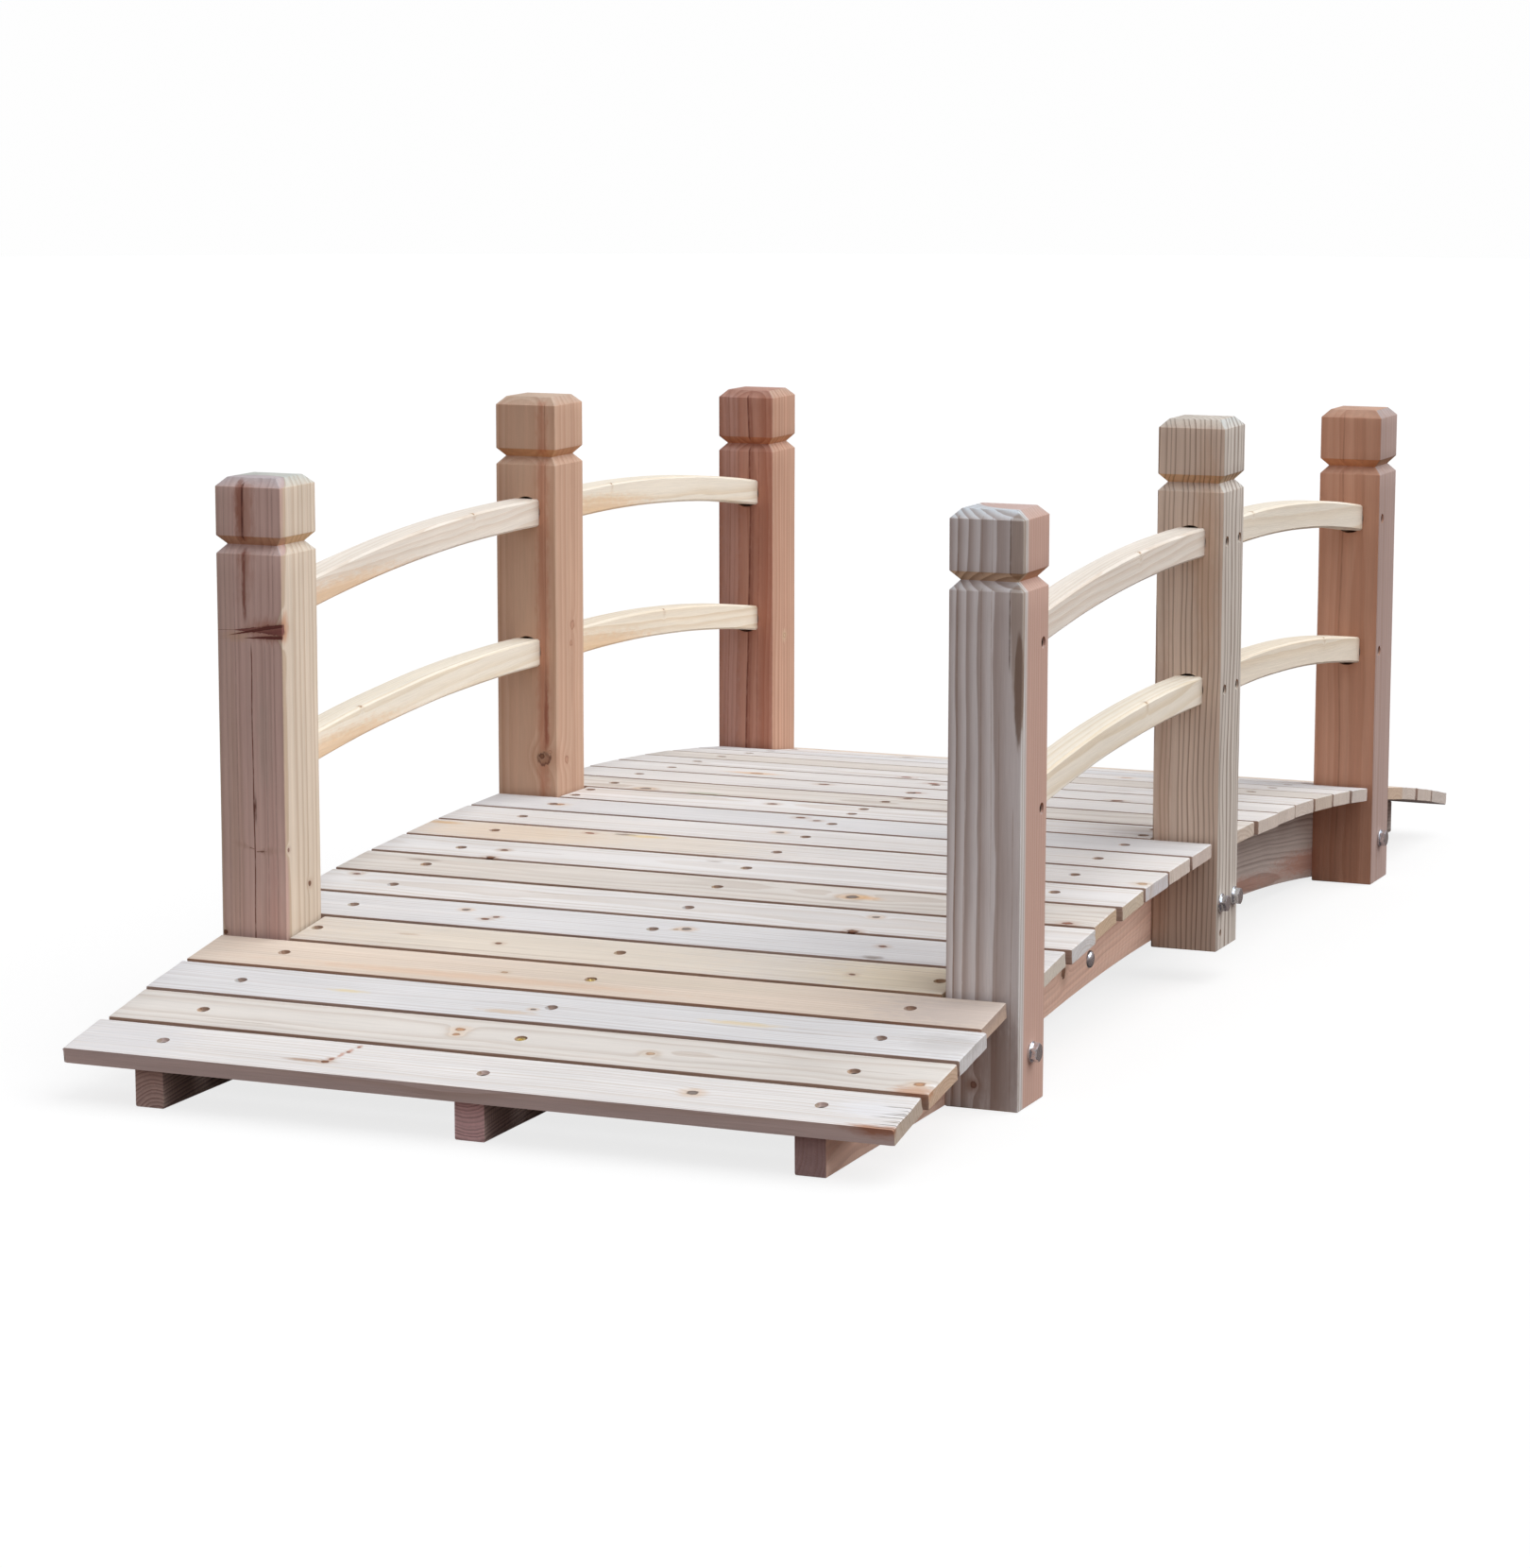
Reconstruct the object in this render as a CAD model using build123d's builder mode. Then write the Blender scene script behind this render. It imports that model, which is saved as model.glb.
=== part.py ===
from build123d import *
import os
from math import atan, cos, degrees, sin

# Arched garden bridge: a plank deck on three curved stringers, with a post-and-rail
# parapet on each side. It ships as two half decks that are joined under the middle board.
# X runs across the walkway, Y along it and Z up. The origin is on the ground, under the
# middle of the bridge. All sizes are in millimetres.

# Deck
board_length = 660.0
board_width = 55.0
board_gap = 7.0
board_thickness = 12.0
board_ease = 0.8            # small chamfer on the long edges of a plank
boards_each_way = 12        # planks before and after the middle one
deck_radius = 3760.0        # of the walking surface
crown_height = 120.0        # walking surface over the ground at mid span

# Stringers
stringer_thickness = 24.0
stringer_depth = 75.0
stringer_setback = 9.0      # from the front edge of the first plank
half_joint = 0.6            # saw gap between the two halves

# Posts
post_size = 57.0
post_proud = 1.0            # outer face of a post past the ends of the planks
post_height = 442.0
middle_post_lift = 28.0     # foot of a middle post over the ground
end_post_planks = 8         # planks from the middle post to an end post
plank_to_post = 2.0         # room between a short plank and a post
top_chamfer = 7.0
groove_below_top = 52.0     # to the bottom of the V groove
groove_depth = 6.5
groove_half_width = 7.0

# Rails
rail_width = 24.0
rail_height = 24.0
rail_bow = 9.0              # rise of the curve over its chord
lower_rail_height = 219.0   # middle of a rail over the foot of its post
upper_rail_height = 342.0
socket_diameter = 26.6
tenon_length = 22.0
socket_depth = 24.0
rail_ease = 1.0             # small chamfer on the long edges of a rail
tenon_clearance = 0.3
tenon_sides = 8             # corners of the square rail taken off to enter the round socket

# Splice plates behind the outer stringers
splice_length = 430.0
splice_thickness = 24.0
splice_depth = 55.0
splice_foot = 35.0          # lower edge over the ground

# Bolts
bolt_diameter = 8.0
bolt_clearance = 0.5
bolt_head_flats = 13.0
bolt_head_height = 5.3
bolt_height = 40.0          # over the foot of the post
middle_bolt_offset = 18.0   # each side of the middle of a middle post
nut_height = 6.5
washer_diameter = 16.0
washer_thickness = 1.6

# Worked out from the sizes above
board_pitch = board_width + board_gap
arc_centre = crown_height - deck_radius
stringer_top_radius = deck_radius - board_thickness
stringer_bottom_radius = stringer_top_radius - stringer_depth
first_plank_angle = boards_each_way * board_pitch / deck_radius
deck_end = deck_radius * sin(first_plank_angle) + board_width / 2 * cos(first_plank_angle)
stringer_end = deck_end - stringer_setback
post_x = board_length / 2 + post_proud - post_size / 2
outer_face = post_x - post_size / 2
stringer_spacing = outer_face - stringer_thickness / 2
post_y = deck_radius * sin(end_post_planks * board_pitch / deck_radius)
short_plank_length = 2 * (outer_face - plank_to_post)

sides = {"left": -1, "right": 1}
post_stations = {"near": -1, "middle": 0, "far": 1}
rail_levels = {"lower": lower_rail_height, "upper": upper_rail_height}

os.makedirs("parts", exist_ok=True)


def foot_height(station):
    """Height of a post's foot over the ground."""
    return middle_post_lift if station == 0 else 0.0


def bolt_places(station):
    """Y of each bolt of one post."""
    if station == 0:
        return [-middle_bolt_offset, middle_bolt_offset]
    return [station * post_y]


def deck_plane(plank):
    """Plane on the walking surface, at the middle of a plank counted from mid span."""
    angle = plank * board_pitch / deck_radius
    surface = (0, deck_radius * sin(angle), arc_centre + deck_radius * cos(angle))
    return Plane(origin=surface, x_dir=(1, 0, 0), z_dir=(0, sin(angle), cos(angle)))


# Deck planks, the ones between two posts cut short
for number in range(-boards_each_way, boards_each_way + 1):
    beside_posts = abs(number) in (0, end_post_planks)
    length = short_plank_length if beside_posts else board_length
    with BuildPart() as plank:
        with BuildSketch(deck_plane(number)):
            Rectangle(length, board_width)
        extrude(amount=-board_thickness)
        chamfer(plank.edges().filter_by(Axis.X), board_ease)
    label = f"deck_board_{number + boards_each_way + 1:02d}"
    plank.part.label = label
    export_step(plank.part, f"parts/{label}.step")


# Stringers, sawn to the curve and cut level where they stand on the ground
def build_stringer_half(x, end, bolts):
    """One half of a stringer, from mid span to the end on the side `end` of Y."""
    with BuildPart() as half:
        with BuildSketch(Plane.YZ.offset(x - stringer_thickness / 2)):
            with Locations((0, arc_centre)):
                Circle(stringer_top_radius)
                Circle(stringer_bottom_radius, mode=Mode.SUBTRACT)
            with Locations((end * (stringer_end + half_joint / 2) / 2, 0)):
                Rectangle(
                    stringer_end - half_joint / 2,
                    crown_height,
                    align=(Align.CENTER, Align.MIN),
                    mode=Mode.INTERSECT,
                )
        extrude(amount=stringer_thickness)
        drill(x, bolts)
    return half


def drill(x, places):
    """Bolt holes through a timber, along X, at the (y, z) places."""
    if not places:
        return
    reach = post_size + stringer_thickness
    with BuildSketch(Plane.YZ.offset(x - reach / 2)) as holes:
        with Locations(*places):
            Circle((bolt_diameter + bolt_clearance) / 2)
    extrude(holes.sketch, amount=reach, mode=Mode.SUBTRACT)


ends = {"near": -1, "far": 1}
for name, side in {"left": -1, "middle": 0, "right": 1}.items():
    for end_name, end in ends.items():
        bolts = []
        if side:
            bolts = [
                (end * middle_bolt_offset, foot_height(0) + bolt_height),
                (end * post_y, foot_height(end) + bolt_height),
            ]
        half = build_stringer_half(side * stringer_spacing, end, bolts)
        half.part.label = f"stringer_{name}_{end_name}"
        export_step(half.part, f"parts/stringer_{name}_{end_name}.step")


# Posts: square, with a chamfered top, a V groove below it and round sockets for the rails
def build_post(side, station):
    """One post on the side `side` of X, at the place `station` along Y."""
    x = side * post_x
    y = station * post_y
    foot = foot_height(station)
    slope = degrees(atan(groove_depth / groove_half_width))
    shaft_height = post_height - groove_below_top - groove_half_width
    with BuildPart() as post:
        with BuildSketch(Plane.XY.offset(foot)):
            with Locations((x, y)):
                Rectangle(post_size, post_size)
        extrude(amount=shaft_height)
        extrude(post.faces().sort_by(Axis.Z)[-1], amount=groove_half_width, taper=slope)
        extrude(post.faces().sort_by(Axis.Z)[-1], amount=groove_half_width, taper=-slope)
        extrude(post.faces().sort_by(Axis.Z)[-1], amount=groove_below_top - groove_half_width)
        chamfer(post.faces().sort_by(Axis.Z)[-1].edges(), top_chamfer)
        for facing in (-1, 1):
            if abs(station + facing) <= 1:
                for level in rail_levels.values():
                    with BuildSketch(rail_seat(side, station, facing, level)):
                        Circle(socket_diameter / 2)
                    extrude(amount=-socket_depth, mode=Mode.SUBTRACT)
        drill(x, [(place, foot + bolt_height) for place in bolt_places(station)])
    return post


def rail_seat(side, station, facing, level):
    """Plane on the face of a post where a rail enters, looking along the rail."""
    seat = (
        side * post_x,
        station * post_y + facing * post_size / 2,
        foot_height(station) + level,
    )
    return Plane(origin=seat, x_dir=(1, 0, 0), z_dir=(0, facing, 0))


for side_name, side in sides.items():
    for station_name, station in post_stations.items():
        post = build_post(side, station)
        post.part.label = f"post_{side_name}_{station_name}"
        export_step(post.part, f"parts/post_{side_name}_{station_name}.step")


# Rails: sawn to a bow, with an eight-sided tenon on each end
def build_rail(side, first_station, level):
    """The rail between the post at `first_station` and the next one along Y."""
    seats = [
        rail_seat(side, first_station, 1, level),
        rail_seat(side, first_station + 1, -1, level),
    ]
    start, finish = [Vector(seat.origin.Y, seat.origin.Z) for seat in seats]
    half_height = Vector(0, rail_height / 2)
    with BuildPart() as rail:
        with BuildSketch(Plane.YZ.offset(side * post_x - rail_width / 2)):
            with BuildLine():
                over = SagittaArc(start + half_height, finish + half_height, rail_bow)
                under = SagittaArc(start - half_height, finish - half_height, rail_bow)
                Line(over @ 0, under @ 0)
                Line(over @ 1, under @ 1)
            make_face()
        extrude(amount=rail_width)
        long_edges = rail.edges().filter_by(GeomType.CIRCLE)
        chamfer(long_edges, rail_ease)
        for seat in seats:
            with BuildSketch(seat):
                reach = socket_diameter / 2 - tenon_clearance
                RegularPolygon(reach, tenon_sides, rotation=180 / tenon_sides)
                Rectangle(rail_width - 2 * tenon_clearance, rail_height, mode=Mode.INTERSECT)
            extrude(amount=-tenon_length)
    return rail


for side_name, side in sides.items():
    for bay_name, first_station in {"near": -1, "far": 0}.items():
        for level_name, level in rail_levels.items():
            rail = build_rail(side, first_station, level)
            rail.part.label = f"rail_{side_name}_{bay_name}_{level_name}"
            export_step(rail.part, f"parts/rail_{side_name}_{bay_name}_{level_name}.step")

# Splice plates that join the halves of the outer stringers
for side_name, side in sides.items():
    plate_x = side * (stringer_spacing - stringer_thickness / 2 - splice_thickness / 2)
    with BuildPart() as splice:
        with BuildSketch(Plane.XY.offset(splice_foot)):
            with Locations((plate_x, 0)):
                Rectangle(splice_thickness, splice_length)
        extrude(amount=splice_depth)
        drill(plate_x, [(y, foot_height(0) + bolt_height) for y in bolt_places(0)])
    splice.part.label = f"splice_{side_name}"
    export_step(splice.part, f"parts/splice_{side_name}.step")


# Hex bolts, each with a washer under its head and a nut on the inner face
def add_disc(plane, diameter, thickness):
    """A washer or a shank."""
    with BuildSketch(plane) as disc:
        Circle(diameter / 2)
    extrude(disc.sketch, amount=thickness)


def add_hexagon(plane, thickness):
    """A bolt head or a nut."""
    with BuildSketch(plane) as hexagon:
        RegularPolygon(bolt_head_flats / 2, 6, major_radius=False)
    extrude(hexagon.sketch, amount=thickness)


with BuildPart() as bolts:
    for side in sides.values():
        for station in post_stations.values():
            grip = post_size + stringer_thickness
            if station == 0:
                grip += splice_thickness
            for y in bolt_places(station):
                head = (side * (outer_face + post_size), y, foot_height(station) + bolt_height)
                face = Plane(origin=head, x_dir=(0, 1, 0), z_dir=(side, 0, 0))
                add_disc(face, washer_diameter, washer_thickness)
                add_hexagon(face.offset(washer_thickness), bolt_head_height)
                add_disc(face, bolt_diameter, -grip)
                add_hexagon(face.offset(-grip), -nut_height)
bolts.part.label = "bolts"
export_step(bolts.part, "parts/bolts.step")
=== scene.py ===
import math
import random

import bmesh
import bpy
from mathutils import Matrix, Vector, noise


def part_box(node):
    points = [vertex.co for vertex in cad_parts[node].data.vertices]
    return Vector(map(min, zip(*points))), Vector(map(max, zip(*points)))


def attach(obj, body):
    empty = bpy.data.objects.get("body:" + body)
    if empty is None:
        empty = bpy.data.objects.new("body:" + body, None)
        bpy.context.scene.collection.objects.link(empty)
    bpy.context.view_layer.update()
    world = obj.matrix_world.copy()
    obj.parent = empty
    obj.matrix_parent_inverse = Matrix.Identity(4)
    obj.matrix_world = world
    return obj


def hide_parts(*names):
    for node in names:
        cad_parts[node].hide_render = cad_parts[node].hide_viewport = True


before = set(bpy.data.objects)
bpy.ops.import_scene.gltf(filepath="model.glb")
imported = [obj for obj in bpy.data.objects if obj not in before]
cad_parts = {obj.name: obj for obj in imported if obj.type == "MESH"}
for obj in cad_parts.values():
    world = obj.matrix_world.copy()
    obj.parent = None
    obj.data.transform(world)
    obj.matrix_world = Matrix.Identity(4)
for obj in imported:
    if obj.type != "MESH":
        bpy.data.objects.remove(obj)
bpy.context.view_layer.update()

# Arched garden bridge: planks, posts, rails, stringers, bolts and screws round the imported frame.
# Sizes are in millimetres, and addPiece turns a finished mesh into metres.
print("frame:", len(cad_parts), "nodes")

bridge = {
    "deckRadius": 3760.0,
    "crown": 120.0,
    "planks": 25,
    "middlePlank": 13,
    "pitch": 62.0,           # from one plank to the next
    "stringerSpacing": 262.0,
    "postSize": 57.0,
    "railHeights": {"lower": 219.0, "upper": 342.0},
}
sides = {"left": -1, "right": 1}
stations = {"near": -1, "middle": 0, "far": 1}


# camera, light and floor; the camera stands where the photograph was taken
photoCamera = {
    "place": (1.388405, -3.544388, 0.766952),
    "turn": (80.705, -0.085, 22.623),     # degrees about X, Y and Z
    "lens": 102.74,
    "sensor": 36.0,
}
cameraData = bpy.data.cameras.new("photoCamera")
cameraData.lens = photoCamera["lens"]
cameraData.sensor_width = photoCamera["sensor"]
camera = bpy.data.objects.new("photoCamera", cameraData)
camera.location = photoCamera["place"]
camera.rotation_euler = [math.radians(angle) for angle in photoCamera["turn"]]
bpy.context.scene.collection.objects.link(camera)
bpy.context.scene.camera = camera
bpy.context.scene.view_settings.view_transform = "Standard"

studio = {
    "keyTowards": (0.62, 0.16, 0.77),     # from the bridge to the light
    "keyStrength": 2.45,
    "keyColour": (0.97, 1.0, 1.01),
    "keyAngle": 72.0,
    # the air's colour by the sine of the height over the horizon
    "air": [(-1.0, (0.13, 0.10, 0.095)), (-0.15, (0.20, 0.155, 0.14)), (0.12, (0.36, 0.30, 0.29)),
            (0.6, (0.52, 0.53, 0.56)), (1.0, (0.70, 0.75, 0.81))],
    "floorTone": (0.205, 0.200, 0.195),
    "floorGlow": 0.79,                    # keeps the shadows on the floor faint
    "floorReach": 14.0,                   # half its side, in metres like the sizes below
    "floorDrop": 0.0004,
    "backdropRadius": 13.5,
    "backdropTone": 0.99,
    "clothReach": (0.30, 0.80),           # the dark cloth lies under the floor, below the bridge
    "clothDrop": 0.003,
    "clothTone": (0.04, 0.035, 0.035),
}


def addNode(tree, kind, inputs=None, **settings):
    node = tree.nodes.new(kind)
    for name, value in settings.items():
        setattr(node, name, value)
    for name, value in (inputs or {}).items():
        plug(tree, node.inputs[name], value)
    return node


def plug(tree, socket, value):
    if isinstance(value, bpy.types.NodeSocket):
        tree.links.new(value, socket)
    elif isinstance(value, bpy.types.Node):
        tree.links.new(value.outputs[0], socket)
    elif hasattr(socket.default_value, "__len__") and len(socket.default_value) == 4:
        socket.default_value = (*value, 1.0)
    else:
        socket.default_value = value


def maths(tree, operation, *values):
    node = addNode(tree, "ShaderNodeMath", operation=operation)
    for index, value in enumerate(values):
        plug(tree, node.inputs[index], value)
    return node.outputs[0]


def vectorMaths(tree, operation, *values):
    node = addNode(tree, "ShaderNodeVectorMath", operation=operation)
    for index, value in enumerate(values):
        if operation == "SCALE" and index == 1:
            index = 3
        plug(tree, node.inputs[index], value)
    scalar = operation in ("LENGTH", "DISTANCE", "DOT_PRODUCT")
    return node.outputs[1 if scalar else 0]


def smoothStep(tree, value, start, finish, low=0.0, high=1.0):
    node = addNode(tree, "ShaderNodeMapRange", interpolation_type="SMOOTHSTEP")
    for index, item in enumerate((value, start, finish, low, high)):
        plug(tree, node.inputs[index], item)
    return node.outputs[0]


def fadeOut(tree, value, start, finish):
    return smoothStep(tree, value, start, finish, 1.0, 0.0)


def blendColours(tree, factor, first, second, kind="MIX"):
    node = addNode(tree, "ShaderNodeMix", data_type="RGBA", blend_type=kind)
    plug(tree, node.inputs[0], factor)
    plug(tree, node.inputs[6], first)
    plug(tree, node.inputs[7], second)
    return node.outputs[2]


def noiseAt(tree, point, stretch, detail=2.0, rough=0.5, shift=None):
    # noise over a point in millimetres; stretch is one over the size of its patches
    point = vectorMaths(tree, "MULTIPLY", point, stretch)
    if shift is not None:
        point = vectorMaths(tree, "ADD", point, shift)
    inputs = {"Vector": point, "Scale": 1.0, "Detail": detail, "Roughness": rough}
    return addNode(tree, "ShaderNodeTexNoise", inputs)


def emptyMaterial(name):
    material = bpy.data.materials.new(name)
    material.use_nodes = True
    material.node_tree.nodes.clear()
    return material, material.node_tree


def plainMaterial(name, sockets):
    material = bpy.data.materials.new(name)
    material.use_nodes = True
    shader = material.node_tree.nodes["Principled BSDF"]
    for label, value in sockets.items():
        plug(material.node_tree, shader.inputs[label], value)
    return material


def flatSheet(name, halfWide, halfLong, drop, material):
    mesh = bpy.data.meshes.new(name)
    corners = [(x * halfWide, y * halfLong, 0) for x, y in ((-1, -1), (1, -1), (1, 1), (-1, 1))]
    mesh.from_pydata(corners, [], [(0, 1, 2, 3)])
    mesh.materials.append(material)
    sheet = bpy.data.objects.new(name, mesh)
    sheet.location.z = -drop
    return sheet


def addKeyLight():
    key = bpy.data.lights.new("keyLight", "SUN")
    key.energy = studio["keyStrength"]
    key.color = studio["keyColour"]
    key.angle = math.radians(studio["keyAngle"])
    lamp = bpy.data.objects.new("keyLight", key)
    lamp.rotation_euler = Vector(studio["keyTowards"]).to_track_quat("Z", "Y").to_euler()
    bpy.context.scene.collection.objects.link(lamp)


def addAir():
    world = bpy.data.worlds.new("studioAir")
    bpy.context.scene.world = world
    world.use_nodes = True
    tree = world.node_tree
    tree.nodes.clear()
    place = addNode(tree, "ShaderNodeTexCoord")
    height = addNode(tree, "ShaderNodeSeparateXYZ", {"Vector": place.outputs["Generated"]})
    colour = studio["air"][0][1]
    for (low, _), (high, tint) in zip(studio["air"], studio["air"][1:]):
        colour = blendColours(tree, smoothStep(tree, height.outputs["Z"], low, high), colour, tint)
    light = addNode(tree, "ShaderNodeBackground", {"Color": colour, "Strength": 1.0})
    addNode(tree, "ShaderNodeOutputWorld", {"Surface": light})


def makeBackdrop():
    dome = bmesh.new()
    bmesh.ops.create_uvsphere(dome, u_segments=48, v_segments=24, radius=studio["backdropRadius"])
    mesh = bpy.data.meshes.new("studioBackdrop")
    dome.to_mesh(mesh)
    dome.free()
    paper, tree = emptyMaterial("studioBackdrop")
    white = [studio["backdropTone"]] * 3
    glow = addNode(tree, "ShaderNodeEmission", {"Color": white, "Strength": 1.0})
    addNode(tree, "ShaderNodeOutputMaterial", {"Surface": glow})
    mesh.materials.append(paper)
    return bpy.data.objects.new("studioBackdrop", mesh)


def buildStudio():
    addKeyLight()
    addAir()
    paint = plainMaterial("studioFloor", {
        "Base Color": studio["floorTone"], "Roughness": 0.95, "Specular IOR Level": 0.0,
        "Emission Color": (1.0, 1.0, 1.0), "Emission Strength": studio["floorGlow"],
    })
    reach = studio["floorReach"]
    floor = flatSheet("studioFloor", reach, reach, studio["floorDrop"], paint)
    backdrop = makeBackdrop()
    # the cloth stops the light that would come up through the floor under the deck
    felt = plainMaterial("darkCloth", {"Base Color": studio["clothTone"], "Roughness": 1.0})
    cloth = flatSheet("darkCloth", *studio["clothReach"], studio["clothDrop"], felt)
    for thing in (floor, backdrop, cloth):
        bpy.context.scene.collection.objects.link(thing)
    cloth.visible_camera = False
    for thing in (floor, backdrop):
        thing.visible_diffuse = False
        thing.visible_glossy = False
        thing.visible_shadow = False


buildStudio()
print("studio: camera, key light, air, floor, backdrop and dark cloth")


def tone(red, green, blue):
    # a display colour, 0 to 255, as the linear one that a shader takes
    linear = []
    for value in (red, green, blue):
        value /= 255
        linear.append(value / 12.92 if value <= 0.04045 else ((value + 0.055) / 1.055) ** 2.4)
    return tuple(linear)


def newGroup(name, takes, gives):
    # takes and gives list the sockets by kind, and come back as the sockets themselves
    group = bpy.data.node_groups.new(name, "ShaderNodeTree")
    kinds = {"vectors": "NodeSocketVector", "numbers": "NodeSocketFloat"}
    for side, sockets in (("INPUT", takes), ("OUTPUT", gives)):
        for kind, labels in sockets.items():
            for label in labels:
                group.interface.new_socket(name=label, in_out=side, socket_type=kinds[kind])
    return group, addNode(group, "NodeGroupInput").outputs, addNode(group, "NodeGroupOutput").inputs


growth = {
    "rippleStretch": (0.11, 0.11, 0.011),
    "ripple": 1.6,                # how far a ring line strays, in mm
    "unevenPace": 0.37,
    "unevenWidth": 1.6,
    "unevenStrength": 0.6,        # how much paler some late lines are
    "lateFull": 0.92,             # shares of a ring
    "lateEnds": 0.93,
}


def ringGroup():
    # growth rings round a pith that runs along Z; pale early wood, then a dark late line
    takes = {"vectors": ("Point", "Drift", "Pith", "Shift"),
             "numbers": ("Ring width", "Wander", "Late from", "Bulge", "Seed", "Uneven")}
    group, given, result = newGroup("growthRings", takes, {"numbers": ("Late", "Radius")})
    drift = vectorMaths(group, "SCALE", given["Drift"], given["Wander"])
    moved = vectorMaths(group, "ADD", given["Point"], drift)
    moved = vectorMaths(group, "SUBTRACT", moved, given["Pith"])
    moved = vectorMaths(group, "MULTIPLY", moved, (1.0, 1.0, 0.0))
    radius = maths(group, "ADD", vectorMaths(group, "LENGTH", moved), given["Bulge"])
    ripple = noiseAt(group, given["Point"], growth["rippleStretch"], 2.0, 0.6, given["Shift"])
    ripple = maths(group, "MULTIPLY_ADD", ripple, growth["ripple"], -growth["ripple"] / 2)
    count = maths(group, "DIVIDE", maths(group, "ADD", radius, ripple), given["Ring width"])
    uneven = addNode(group, "ShaderNodeTexNoise", {
        "W": count, "Scale": growth["unevenPace"], "Detail": 1.0}, noise_dimensions="1D")
    uneven = maths(group, "MULTIPLY", uneven, given["Uneven"])
    count = maths(group, "MULTIPLY_ADD", uneven, growth["unevenWidth"], count)
    part = maths(group, "FRACT", count)
    ring = maths(group, "ADD", maths(group, "FLOOR", count), given["Seed"])
    strength = addNode(group, "ShaderNodeTexWhiteNoise", {"W": ring}, noise_dimensions="1D")
    weaker = maths(group, "MULTIPLY", given["Uneven"], growth["unevenStrength"])
    strength = maths(group, "SUBTRACT", 1.0, maths(group, "MULTIPLY", strength, weaker))
    rise = smoothStep(group, part, given["Late from"], growth["lateFull"])
    fall = fadeOut(group, part, growth["lateEnds"], 1.0)
    late = maths(group, "MULTIPLY", maths(group, "MULTIPLY", rise, fall), strength)
    plug(group, result["Late"], late)
    plug(group, result["Radius"], radius)
    return group


# fine fibres, longer streaks, slow patches, the drift that bends the grain, and torn edges, each
# with one over the size of its noise, the noise's detail and its roughness
fibreNoise = {
    "Fine": ((1.5, 1.5, 0.035), 2.0, 0.65),
    "Streak": ((0.24, 0.24, 0.0035), 3.0, 0.6),
    "Patch": ((0.03, 0.03, 0.007), 1.0, 0.5),
    "Drift": ((0.010, 0.010, 0.0045), 2.0, 0.5),
    "Ragged": ((0.33, 0.33, 0.10), 2.0, 0.6),
}


def fibreGroup():
    gives = {"numbers": ("Fine", "Streak", "Patch"), "vectors": ("Drift", "Ragged")}
    group, given, result = newGroup("woodFibres", {"vectors": ("Point", "Shift")}, gives)
    for label, (stretch, detail, rough) in fibreNoise.items():
        field = noiseAt(group, given["Point"], stretch, detail, rough, given["Shift"])
        if label in gives["vectors"]:
            field = vectorMaths(group, "SUBTRACT", field.outputs[1], (0.5, 0.5, 0.5))
        plug(group, result[label], field)
    return group


# shares of a knot's radius, but the tip is a share of a branch's length
branch = {
    "inside": (0.6, 1.05),
    "rimMiddle": 0.85,
    "rimHalf": 0.34,
    "halo": (0.9, 3.2),
    "ragged": 1.3,
    "bulgeReach": 2.3,
    "bulge": 1.4,
    "tip": 0.12,
    "thinnest": 0.02,
}


def knotGroup():
    # a branch through the wood: dark rim, inside and halo, and grain that parts round it
    takes = {"vectors": ("Point", "Ragged", "Centre", "Direction", "Squash"),
             "numbers": ("Size", "Taper")}
    gives = {"numbers": ("Inside", "Rim", "Halo", "Bulge")}
    group, given, result = newGroup("branchKnot", takes, gives)
    offset = vectorMaths(group, "SUBTRACT", given["Point"], given["Centre"])
    along = vectorMaths(group, "DOT_PRODUCT", offset, given["Direction"])
    axis = vectorMaths(group, "SCALE", given["Direction"], along)
    across = vectorMaths(group, "SUBTRACT", offset, axis)
    across = vectorMaths(group, "MULTIPLY", across, given["Squash"])
    # with a taper, the branch starts at its centre and grows along its direction
    grown = maths(group, "DIVIDE", along, maths(group, "MAXIMUM", given["Taper"], 0.001))
    grown = maths(group, "ADD", grown, branch["tip"])
    grown = maths(group, "MINIMUM", maths(group, "MAXIMUM", grown, branch["thinnest"]), 1.0)
    straight = maths(group, "LESS_THAN", given["Taper"], 0.01)
    size = maths(group, "MULTIPLY", given["Size"], maths(group, "MAXIMUM", grown, straight))
    ragged = maths(group, "MULTIPLY", size, branch["ragged"])
    ragged = vectorMaths(group, "SCALE", given["Ragged"], ragged)
    distance = vectorMaths(group, "LENGTH", vectorMaths(group, "ADD", across, ragged))
    share = maths(group, "DIVIDE", distance, size)
    plug(group, result["Inside"], fadeOut(group, share, *branch["inside"]))
    edge = maths(group, "ABSOLUTE", maths(group, "SUBTRACT", share, branch["rimMiddle"]))
    plug(group, result["Rim"], fadeOut(group, edge, 0.0, branch["rimHalf"]))
    plug(group, result["Halo"], fadeOut(group, share, *branch["halo"]))
    clean = vectorMaths(group, "LENGTH", across)
    reach = maths(group, "MULTIPLY", size, branch["bulgeReach"])
    square = maths(group, "POWER", maths(group, "DIVIDE", clean, reach), 2.0)
    bump = maths(group, "EXPONENT", maths(group, "MULTIPLY", square, -1.0))
    bump = maths(group, "MULTIPLY", bump, maths(group, "MULTIPLY", size, branch["bulge"]))
    plug(group, result["Bulge"], bump)
    return group


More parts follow.
